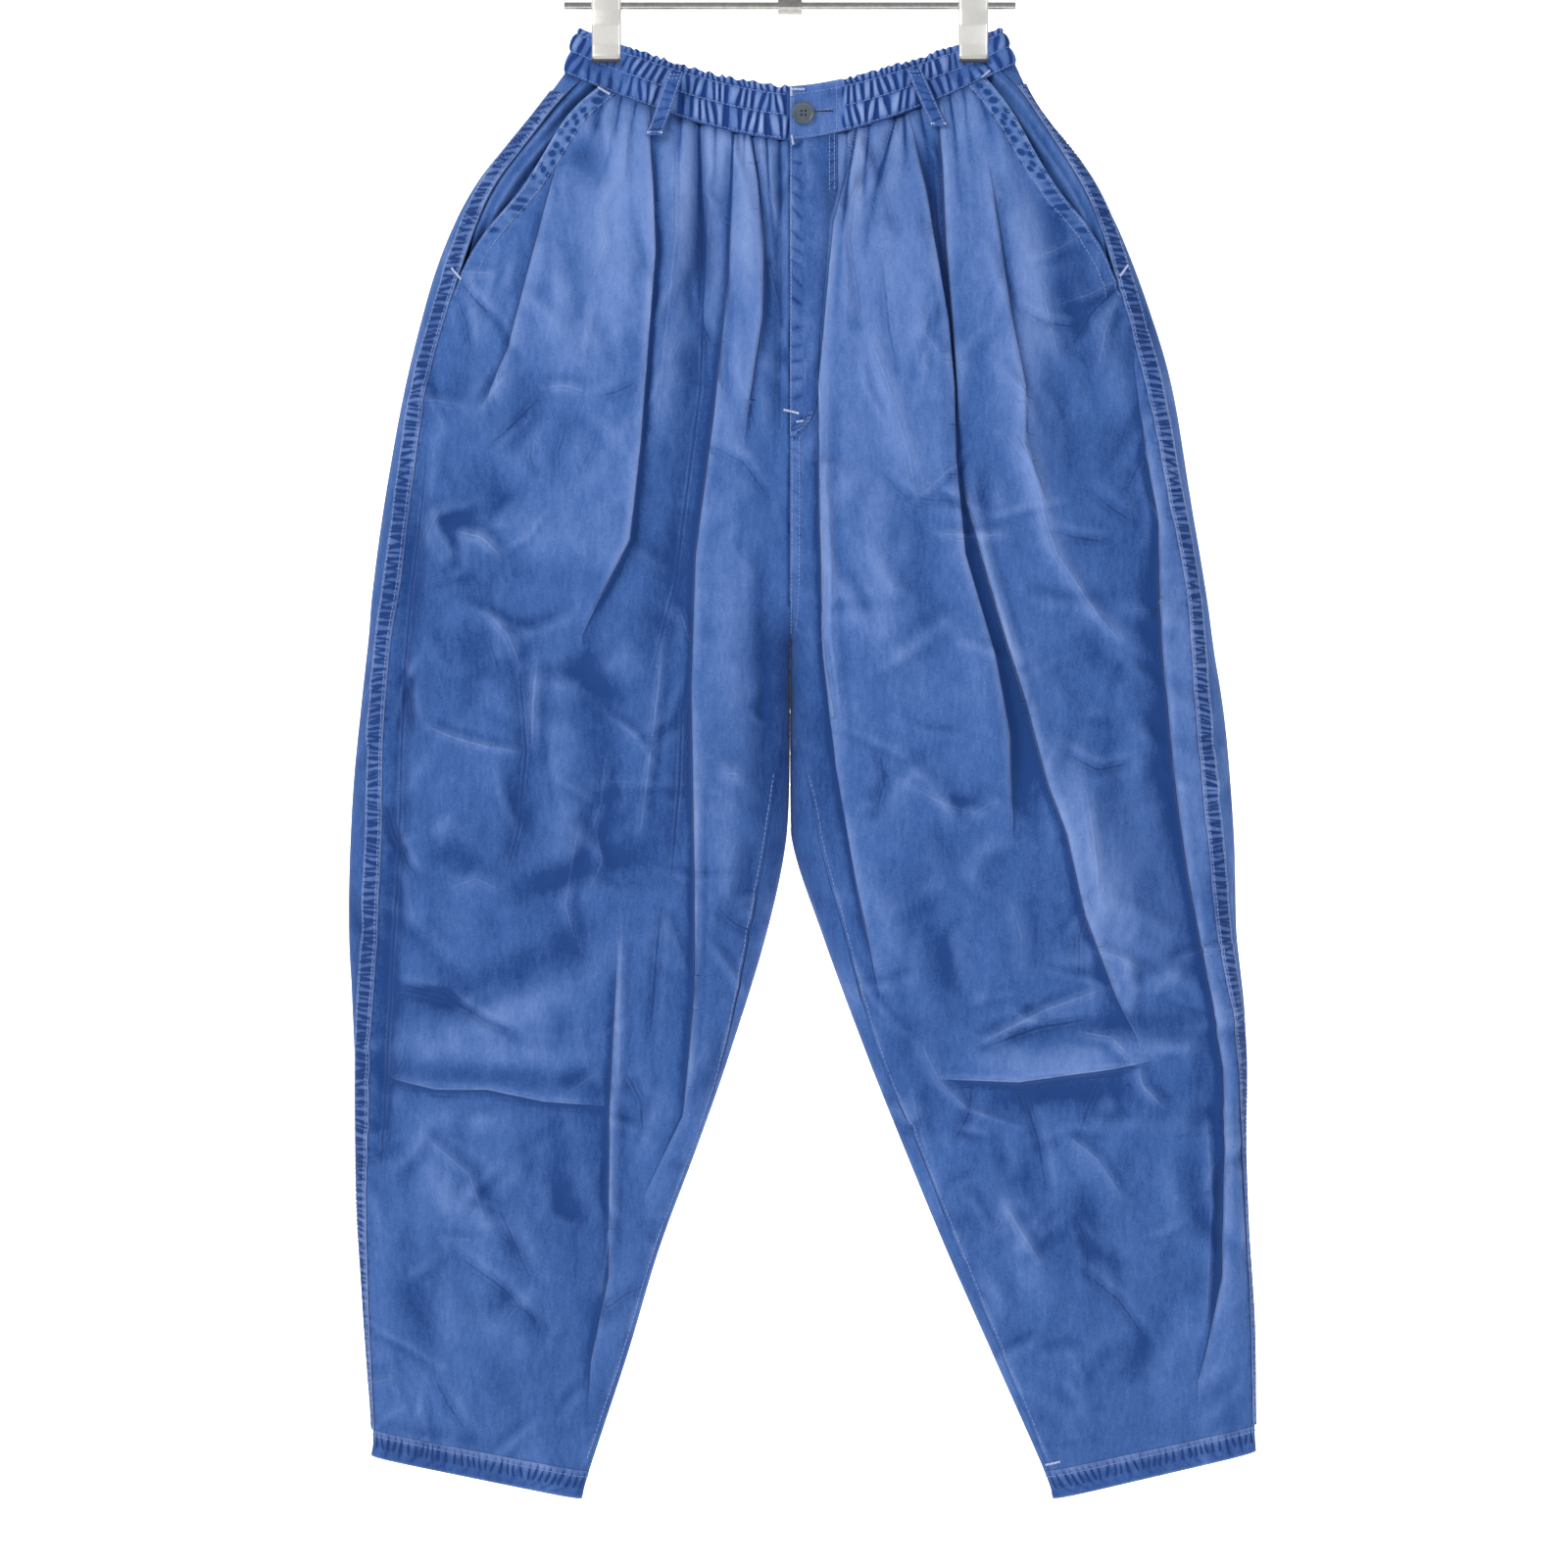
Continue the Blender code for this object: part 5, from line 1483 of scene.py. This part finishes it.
far_tucks, far_clefts = puckers(drop, wide - from_edge, 7.0, 19, 7.5)
curl = 0.5 * np.exp(-from_edge / 3)
thick = 0.2 + (STRIP_WALL - 0.2) * smoothstep(0, 4, wide - from_edge)
full_width = (wide > FLY_WIDTH - 0.5) | (row_drop > FLY_FOOT_DROP - 14)
flat_relief = relief._replace(slide=0 * relief.slide)
shaped = flat_relief._replace(lift=relief.lift + 0.8 * tucks + 0.6 * far_tucks * full_width)
outer = hang(leg, arcs, shaped, SEAM_GAP + thick + curl)
inner = hang(leg, arcs, flat_relief, SEAM_GAP + curl)
frost = 0.5 * relief.frost + 0.3 * hump(from_edge, 1.1)
# Painted shade in the puckers' clefts, and darker away from the free edge.
shade = 0.6 * relief.shade + 0.9 * clefts + 0.8 * far_clefts * full_width
shade = shade + 0.28 * smoothstep(10, 26, from_edge)
marks = {"frost": frost, "shade": shade}
piece = cloth_piece("fly_flap", outer, inner, seam_twill, marks, flip=True)
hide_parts("fly")
tops["fly"] = outer
out = outwards_at(leg, arcs)
threads.append((outer[:, -2], out[:, -2], EDGE_STITCH))
top_rows = int(np.argmin(full_width[:, 0]))
foot_row = int(np.argmax(row_drop[:, 0] > FLY_FOOT_DROP - 14))
for column in (2, 5):
    threads.append((outer[:top_rows, column], out[:top_rows, column], EDGE_STITCH))
    threads.append((outer[foot_row:, column], out[foot_row:, column], EDGE_STITCH))

# %% Pocket facings
FACING_GRID = (120, 30)
FACING_LAST = 3.0
FACING_UNDERLAP, FACING_SET_BACK = 14.0, 4.0
FACING_SWELL = 1.0
for side in ("right", "left"):
    leg = leg_rows(side, section_numbers(FACING_GRID[0], 0.0, FACING_LAST))
    seam = front_arc(leg, leg.seam)[:, None] + SEAM_GAP
    edge = front_arc(leg, leg.edge)[:, None]
    share = np.linspace(0, 1, FACING_GRID[1])[None, :]
    arcs = seam + (edge + FACING_UNDERLAP - seam) * share
    relief = panel_relief(side, leg, arcs)
    back = FACING_SET_BACK * smoothstep(-9, -1, arcs - edge)
    drop = drop_at(leg, place(leg, arcs)[0])
    fold_wave = np.sin(2 * math.pi * (arcs - seam) / 8.5 + drop / 31)
    calm = smoothstep(0, 3, arcs - seam)
    lift = 0.4 * relief.lift + FACING_SWELL * fold_wave * calm
    shaped = relief._replace(
        lift=lift, slide=0 * lift, frost=0.4 * relief.frost, shade=0.5 * relief.shade, size=0 * lift
    )
    outer, inner = hang(leg, arcs, shaped, -back), hang(leg, arcs, shaped, -back - FACING_WALL)
    # Painted light on the facing's folds, painted shade in their troughs, and painted shadow under
    # the pocket's edge.
    frost = shaped.frost + 0.10 * calm * np.maximum(fold_wave, 0)
    shade = shaped.shade + 0.25 * calm * np.maximum(-fold_wave, 0)
    shade = shade + 0.9 * smoothstep(-6, 1, arcs - edge)
    marks = {"frost": frost, "shade": shade}
    piece = cloth_piece(f"pocket_inset_{side}", outer, inner, twill, marks, flip=side == "left")
    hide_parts(f"pocket_facing_{side}")

# %% [markdown]
# ## Hems and belt loops
# A turned hem is two layers thick and puckers between its stitching and its fold. The belt
# loops are narrow folded strips that lie over the ruffles, stitched down at both ends.

# %% Hems
HEM_GRID = (12, 380)
HEM_HEIGHT = 17.0
for side in ("right", "left"):
    leg = leg_rows(side, np.linspace(HEM_ROW, HEM_ROW + 1, HEM_GRID[0]))
    share = np.linspace(0, 1, HEM_GRID[1], endpoint=False)[None, :]
    arcs = leg.arc[:, -1:] * share
    down = np.linspace(0, HEM_HEIGHT, HEM_GRID[0])[:, None]
    girth = leg.arc[0, -1] * share
    tucks, clefts = puckers(girth + 0.5 * down, down + 0 * girth, HEM_HEIGHT * 0.95, 21, 9.5)
    fine, fine_clefts = puckers(girth, down - 1.0 + 0 * girth, 6.5, 25, 4.6)
    lift = 0.35 * tucks + 0.7 * fine - 0.5 * hump(down - 1.5, 1.0)
    lift = lift * smoothstep(0, 2, down)
    shaped = blank_relief(lift.shape)._replace(lift=lift)
    outer, inner = hang(leg, arcs, shaped, 0.0), hang(leg, arcs, shaped, -HEM_WALL)
    for grid in (outer, inner):
        grid[..., 2] -= SEAM_GAP * (1 - down / HEM_HEIGHT)
    # Painted: pale edges and stitch line as wear, pale pucker tops as highlight, painted shade in
    # the clefts, and the whole hem a little darker.
    frost = 0.35 * hump(down, 1.5) + 0.55 * hump(down - HEM_HEIGHT, 1.1)
    frost = frost + 0.25 * hump(down - 1.5, 1.3) + 0.08 * tucks
    shade = 0.22 + 0.40 * clefts + 2.4 * fine_clefts
    marks = {"frost": frost, "shade": shade}
    piece = cloth_piece(
        f"turned_hem_{side}", outer, inner, seam_twill, marks, closed=True, flip=side == "left"
    )
    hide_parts(f"hem_{side}")
    tops["hem", side] = outer
    out = outwards_at(leg, arcs)
    threads.append((outer[1], out[1], SEAM_STITCH))

# %% Belt loops
LoopPlace = namedtuple("LoopPlace", "name top_x bottom_x face")
LOOPS = table(
    LoopPlace,
    """
belt_loop_front_right -76 -91 -1
belt_loop_front_left 83 100 -1
belt_loop_back_right -84 -94 1
belt_loop_back_centre 0 0 1
belt_loop_back_left 84 94 1
""",
)
LOOP_WIDTH, LOOP_WALL, LOOP_TOP_INSET, LOOP_TAIL = 10.5, 1.5, 8.0, 20.0
LOOP_GRID = (50, 9)
LOOP_EASE = 11  # points of the running mean that keeps a loop from following every ruffle
under = [grid.reshape(-1, 3) for key, grid in tops.items() if key[0] != "strip"]
under_loops = np.concatenate(under)
loop_ends = []


def outermost(face, x, drop, half_width, half_height):
    """How far the finished cloth stands out under a patch of a loop."""
    near = np.abs(under_loops[:, 0] - x) < half_width
    near &= np.abs(under_loops[:, 2] + drop) < half_height
    near &= under_loops[:, 1] * face > 0
    return (under_loops[near, 1] * face).max()


edges = band_rows(np.array([0.0, 1.0]))
for spot in LOOPS:
    ends = np.array([[spot.top_x], [spot.bottom_x]], float)
    drops = band_drop(edges, ends)[:, 0] + np.array([LOOP_TOP_INSET, LOOP_TAIL])
    share = np.linspace(0, 1, LOOP_GRID[0])
    x = spot.top_x + (spot.bottom_x - spot.top_x) * share
    drop = drops[0] + (drops[1] - drops[0]) * share
    pitch = (drops[1] - drops[0]) / 9
    half = LOOP_WIDTH / 2 + 0.5
    level = np.array([outermost(spot.face, a, d, half, pitch) for a, d in zip(x, drop)])
    eased = np.pad(level, LOOP_EASE // 2, mode="edge")
    level = np.convolve(eased, np.ones(LOOP_EASE) / LOOP_EASE, mode="valid")
    level = np.maximum(level, level.max() - 3.5)
    side_way = np.linspace(-0.5, 0.5, LOOP_GRID[1])[None, :]
    rim = hump(0.5 - np.abs(side_way), 0.13) + 0 * share[:, None]
    from_side = (side_way + 0.5) * LOOP_WIDTH + 0 * share[:, None]
    tucks, clefts = puckers(drop[:, None], from_side, LOOP_WIDTH, 29, 6.0)
    lift = 0.6 * tucks * (1 - rim) - 0.5 * rim
    grids = []
    for out in (SEAM_GAP + LOOP_WALL, SEAM_GAP):
        y = spot.face * (level[:, None] + out + lift)
        points = [x[:, None] + LOOP_WIDTH * side_way, y, -drop[:, None] + 0 * y]
        grids.append(np.stack(points, axis=-1))
    # Pale rims as wear, painted shade in the puckers' clefts, and the whole loop a little darker.
    marks = {"frost": 0.22 * rim, "shade": 0.15 + 1.1 * clefts}
    piece = cloth_piece("strap_" + spot.name, *grids, seam_twill, marks, flip=spot.face < 0)
    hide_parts(spot.name)
    facing_out = np.zeros((LOOP_GRID[0], 3)) + np.array([0, spot.face, 0])
    for column in (1, LOOP_GRID[1] - 2):
        threads.append((grids[0][:, column], facing_out, LOOP_STITCH))
    for row in (2, 5):
        threads.append((grids[0][row, 1:-1], facing_out[: LOOP_GRID[1] - 2], 2.2))
    loop_ends.append((grids[0][-3, 0], grids[0][-3, -1], spot.face))

# %% [markdown]
# ## Thread
# The topstitching is what makes sewn cloth believable. Every stitch is a small grain of
# thread sunk halfway into the cloth, spaced along a line that was measured on the finished
# surface. Bar tacks are dense pale bars at the ends of pockets, loops and fly.

# %% Topstitching
THREAD_RADIUS = 0.34  # the real thread is 0.25 mm, drawn a little thicker so that it shows
POCKET_LINE_END, INSEAM_LINE, RISE_LINE_END = 3.35, (8.4, 14.9), 6.9  # section numbers
thread_material = speckled("tonal_cotton_thread", "#43639f", "#8fa5d3", 240.0, 3.0, 0.8)

GRAIN_SIDES = 5
GRAIN_RINGS = ((-0.5, 0.45), (-0.22, 1.0), (0.22, 1.0), (0.5, 0.45))


def grains(path, out, pitch):
    """Stitches along a path: short rounded rods, each turned to lie along the line."""
    step = np.linalg.norm(np.diff(path, axis=0), axis=1)
    far = np.concatenate([[0], np.cumsum(step)])
    count = max(int(far[-1] / pitch), 1)
    rng = np.random.default_rng(count)
    at = (np.arange(count) + 0.5) * pitch + rng.uniform(-0.12, 0.12, count) * pitch

    def read(values, where):
        return np.stack([np.interp(where, far, values[:, k]) for k in range(3)], -1)

    middle, up = read(path, at), read(out, at)
    way = read(path, at + 0.8) - read(path, at - 0.8)
    way /= np.linalg.norm(way, axis=1, keepdims=True)
    up -= way * (up * way).sum(axis=1, keepdims=True)
    up /= np.linalg.norm(up, axis=1, keepdims=True)
    side = np.cross(way, up)
    rings = []
    for along, wide in GRAIN_RINGS:
        for k in range(GRAIN_SIDES):
            angle = 2 * math.pi * k / GRAIN_SIDES
            round_way = math.cos(angle) * side + math.sin(angle) * up
            on_axis = middle + 0.16 * up + 0.8 * pitch * along * way
            rings.append(on_axis + THREAD_RADIUS * wide * round_way)
    points = np.stack(rings, axis=1)
    faces = []
    for r in range(len(GRAIN_RINGS) - 1):
        for k in range(GRAIN_SIDES):
            a, b = r * GRAIN_SIDES + k, r * GRAIN_SIDES + (k + 1) % GRAIN_SIDES
            faces.append((a, b, b + GRAIN_SIDES, a + GRAIN_SIDES))
    last = (len(GRAIN_RINGS) - 1) * GRAIN_SIDES
    caps = [tuple(reversed(range(GRAIN_SIDES))), tuple(range(last, last + GRAIN_SIDES))]
    return points, faces, caps


def stitch(middle, reach, out, length):
    """One stitch through middle, reaching as far to both sides, on cloth that faces out."""
    path = middle + np.array([[-1.0], [0.0], [1.0]]) * np.asarray(reach, float)
    return path, np.tile(np.asarray(out, float), (3, 1)), length


def thread_object(name, runs, material):
    """Join runs of stitches into one piece."""
    points, faces, first = [], [], 0
    for run in runs:
        grain_points, quads, caps = grains(*run)
        size = grain_points.shape[1]
        starts = first + size * np.arange(len(grain_points))
        for shape in quads + caps:
            faces.append(starts[:, None] + np.array(shape)[None, :])
        points.append(grain_points.reshape(-1, 3))
        first += size * len(grain_points)
    all_faces = [row for block in faces for row in block.tolist()]
    mesh = mesh_from(name, np.concatenate(points), all_faces)
    piece = put_in_scene(name, mesh, material)
    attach(piece, "root")
    print(f"{name}: {len(all_faces)} faces")
    return piece


def front_line(side, first, last, offset, from_edge, count=260):
    """A line on a front panel at a set distance from its outer or its inner edge."""
    leg = leg_rows(side, section_numbers(count, first, last))
    if from_edge == "outer":
        arcs = front_arc(leg, leg.edge)[:, None] + offset
    else:
        arcs = inner_end(leg, "front")[:, None] - offset
    relief, gape = front_surface(side, leg, arcs)
    return hang(leg, arcs, relief, gape)[:, 0], outwards_at(leg, arcs)[:, 0]


for side in ("right", "left"):
    for offset in (1.8, POCKET_BAND - 1.4):
        threads.append((*front_line(side, 0.0, POCKET_LINE_END, offset, "outer"), 2.7))
    threads.append((*front_line(side, *INSEAM_LINE, 2.6, "inner", 420), 3.2))
for offset in (1.4, RISE_BAND - 1.6):
    line = front_line("left", FLY_FOOT_SECTION, RISE_LINE_END, offset, "inner")
    threads.append((*line, 2.8))
band_out = np.stack(place(band, band_arcs)[2:] + (np.zeros_like(band_x),), axis=-1)
seen = slice(0, TAB_COLUMNS + BAND_COLUMNS - 6)
for height in BAND_STITCHES:
    row = round(height * (BAND_ROWS - 1))
    threads.append((tops["band"][row, seen], band_out[row, seen], 2.7))
for column in (3, 36):
    threads.append((tops["band"][2:-1, column], band_out[2:-1, column], 2.4))
thread_object("topstitching", threads, thread_material)

# %% [markdown]
# ## Bar tacks, buttonhole and button
# A bar tack is a dense zigzag of thread where the cloth is pulled hardest, and it has worn
# nearly white. The keyhole's slit is a dark sheet of painted shadow beside the button. The
# button is slate grey and polished dull, and it is sewn on through its four holes with thread
# dark enough to paint the shade in them.

# %% Bar tacks and buttonhole
Bar = namedtuple("Bar", "x_from drop_from x_to drop_to lift")
BARS = table(
    Bar,
    """
-128.5 152 -121 156.5 0.5
-226 274.5 -220 281.5 0.6
-4 370 5.5 372.5 1.6
4.5 378 8.5 377.5 0.8
129 144.5 134 140 0.5
226 272 221 279 0.6
1 152.8 9.5 152.8 0.5
0.9 150 0.9 157 0.3
1.2 184 2.2 190 0.3
172 1076.5 181 1074 0.3
""",
)
BAR_PITCH = 0.75
FRONTWARDS = (0.0, -1.0, 0.0)
FACES_IN_FRONT = (("front", "right"), ("front", "left"), "band", "fly")
surface_points = np.concatenate([tops[key].reshape(-1, 3) for key in FACES_IN_FRONT])
bar_thread = speckled("worn_white_thread", "#94a8d2", "#eef1fa", 900.0, 2.0, 0.75)


def front_y(x, drop):
    """The y of the cloth's face at a place on the front: that of the nearest grid point."""
    apart = np.hypot(surface_points[:, 0] - x, surface_points[:, 2] + drop)
    apart = np.where(surface_points[:, 1] < 0, apart, 1e6)
    near = np.argsort(apart)[:4]
    return surface_points[near, 1].min()


def bar_run(bar):
    """Short stitches laid side by side across the bar's line."""
    start, end = np.array([bar.x_from, -bar.drop_from]), np.array([bar.x_to, -bar.drop_to])
    count = max(int(np.hypot(*(end - start)) / BAR_PITCH), 2)
    way = (end - start) / np.hypot(*(end - start))
    runs = []
    for share in np.linspace(0, 1, count):
        x, z = start + (end - start) * share
        y = front_y(x, -z) - bar.lift
        across = np.array([-way[1], 0, way[0]])
        runs.append(stitch(np.array([x, y, z]), across, FRONTWARDS, 2.0))
    return runs


thread_object("bar_tacks", [run for bar in BARS for run in bar_run(bar)], bar_thread)

# %% Buttonhole, belt loop tacks and button thread
BUTTON_X, BUTTON_DROP = 9.0, 169.0
HOLE_OFFSET = 1.9
SLOT_FROM, SLOT_TO, SLOT_DROP, SLOT_STEPS = 15.5, 29.0, 167.6, 12
slot_x = np.linspace(SLOT_FROM, SLOT_TO, SLOT_STEPS)
slot_path = np.array([[x, front_y(x, SLOT_DROP) - 0.25, -SLOT_DROP] for x in slot_x])
slot_out = np.tile(FRONTWARDS, (SLOT_STEPS, 1))
slot_runs = [(slot_path + np.array([0, 0, z]), slot_out, 1.1) for z in (-1.0, 1.0)]
thread_object("buttonhole_stitches", slot_runs, thread_material)

# The slit is a dark sheet that paints the shadow inside the buttonhole.
slit_shadow = plain_material("painted_shadow_in_slit", "#14284d", 0.95)
slit = np.array([[x, y, z + dz] for x, y, z in slot_path for dz in (-0.45, 0.45)])
slit_faces = [(2 * k, 2 * k + 2, 2 * k + 3, 2 * k + 1) for k in range(SLOT_STEPS - 1)]
slit_mesh = mesh_from("buttonhole_slit", slit, slit_faces)
slit_piece = put_in_scene("buttonhole_slit", slit_mesh, slit_shadow)
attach(slit_piece, "root")

tack_runs = []
for left_end, right_end, face in loop_ends:
    for share in np.linspace(0.05, 0.95, 12):
        middle = left_end + (right_end - left_end) * share + np.array([0, face * 0.3, 0])
        tack_runs.append(stitch(middle, (0, 0, 0.9), (0, face, 0), 1.9))
thread_object("belt_loop_tacks", tack_runs, bar_thread)

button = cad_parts["waist_button"]
button_points = np.array([button.matrix_world @ v.co for v in button.data.vertices]) / MM
button_face = button_points[:, 1].min()
button_runs = []
for k in range(4):
    angle = math.radians(45 + 90 * k)
    x = BUTTON_X + HOLE_OFFSET * math.cos(angle)
    z = -BUTTON_DROP + HOLE_OFFSET * math.sin(angle)
    for dz in (-0.4, 0.0, 0.4):
        middle = np.array([x, button_face + 1.0, z + dz])
        button_runs.append(stitch(middle, (0.8, 0, 0), FRONTWARDS, 1.6))
# The thread is near black, which also paints the shade in the button's holes.
dark_thread = plain_material("thread_and_hole_shade", "#0d1420", 0.7)
thread_object("button_thread", button_runs, dark_thread)

slate = speckled("dull_polished_slate_resin", "#2e3944", "#56626d", 160.0, 4.0, 0.38)
button.data.materials[0] = slate
print("button face at", round(button_face, 1))

# %% [markdown]
# ## Hanger and clips
# The hanger is plated steel wire. Its clips are folded from sheet: a front plate whose two
# sides are bent back as flanges, with satin off-white plating that shows soft reflections.
# The solids' flat plates stay for collision, and these folded ones stand for them.

# %% Hanger
satin = speckled(
    "satin_plated_sheet_steel", "#dedcd6", "#f4f3ef", 2200.0, 3.0, 0.34, metal=0.8,
    squash=(1.0, 1.0, 0.04), bump=(0.12, 0.0001),
)
chrome = speckled("bright_chromed_wire", "#8d8b88", "#c3c1bd", 300.0, 3.0, 0.2, metal=1.0)
for name in ("hanger_rod", "hook_socket", "hanger_hook", "clip_right_barrel", "clip_left_barrel"):
    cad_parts[name].data.materials[0] = chrome

rubber = speckled("dark_moulded_rubber", "#2a2a2c", "#454548", 900.0, 2.0, 0.7)
LIP_SIDES, LIP_WIDTH, LIP_RADIUS, LIP_BACK = 12, 18.6, 1.3, -1.0
CLIP_WIDTH, CLIP_FLANGE = 20.0, 4.2
CLIP_ROUND, CLIP_SHEET = 2.0, 0.9


def clip_outline():
    """The plate's section across: flange, rounded corner, flat face, corner, flange."""
    half = CLIP_WIDTH / 2
    turn = np.linspace(0, math.pi / 2, 5)
    right = [
        (half - CLIP_ROUND * (1 - math.sin(a)), CLIP_ROUND * (1 - math.cos(a))) for a in turn
    ]
    across = [(half, CLIP_FLANGE)] + [(x, d) for x, d in reversed(right)]
    return np.array([(-x, d) for x, d in across] + [(x, d) for x, d in reversed(across)])


for side, sign in (("right", -1), ("left", 1)):
    for face, word in ((-1, "front"), (1, "back")):
        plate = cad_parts[f"clip_{side}_{word}"].data
        node_points = np.array([v.co for v in plate.vertices]) / MM
        outs = np.abs(node_points[:, 1])
        drops = np.unique(np.round(-node_points[:, 2], 2))[::-1]
        level = np.array([outs[np.abs(-node_points[:, 2] - d) < 0.06].max() for d in drops])
        section = clip_outline()
        fine = np.linspace(drops[0], drops[-1], 60)
        out = np.interp(fine, drops[::-1], level[::-1])
        x = sign * CLIP_X + section[None, :, 0] + 0 * fine[:, None]
        depth = np.minimum(section[None, :, 1], (out[:, None] - 0.6))
        y = face * (out[:, None] - depth)
        shell = np.stack([x, y, -fine[:, None] + 0 * x], axis=-1)
        inward = np.array([0, -face * CLIP_SHEET, 0])
        narrow = shell.copy()
        centre, narrowed = sign * CLIP_X, 1 - CLIP_SHEET / (CLIP_WIDTH / 2)
        narrow[..., 0] = centre + (shell[..., 0] - centre) * narrowed
        narrow = narrow + inward * (section[None, :, 1:2] < CLIP_FLANGE * 0.8)
        faces = wall_faces(*shell.shape[:2], False, face > 0)
        points = np.concatenate([shell.reshape(-1, 3), narrow.reshape(-1, 3)])
        name = f"folded_clip_{side}_{word}"
        piece = put_in_scene(name, mesh_from(name, points, faces), satin)
        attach(piece, "root")
        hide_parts(f"clip_{side}_{word}")
        print(piece.name, len(faces), "faces from drop", round(drops[-1]), "to", round(drops[0]))
        turn = np.linspace(0, 2 * math.pi, LIP_SIDES, endpoint=False)
        reach = np.array([0.0, 1.0, 1.0, 0.0])[:, None]
        span = np.array([-0.5, -0.5, 0.5, 0.5])[:, None] * LIP_WIDTH
        lip_x = sign * CLIP_X + span + 0 * turn
        lip_y = face * (out[0] + LIP_BACK) + LIP_RADIUS * reach * np.cos(turn)
        lip_z = -drops[0] - LIP_RADIUS * (0.6 - reach * np.sin(turn))
        lip_faces = grid_faces(4, LIP_SIDES, 0, True, False)
        name = f"rubber_lip_{side}_{word}"
        lip_mesh = mesh_from(name, np.stack([lip_x, lip_y, lip_z], -1).reshape(-1, 3), lip_faces)
        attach(put_in_scene(name, lip_mesh, rubber), "root")
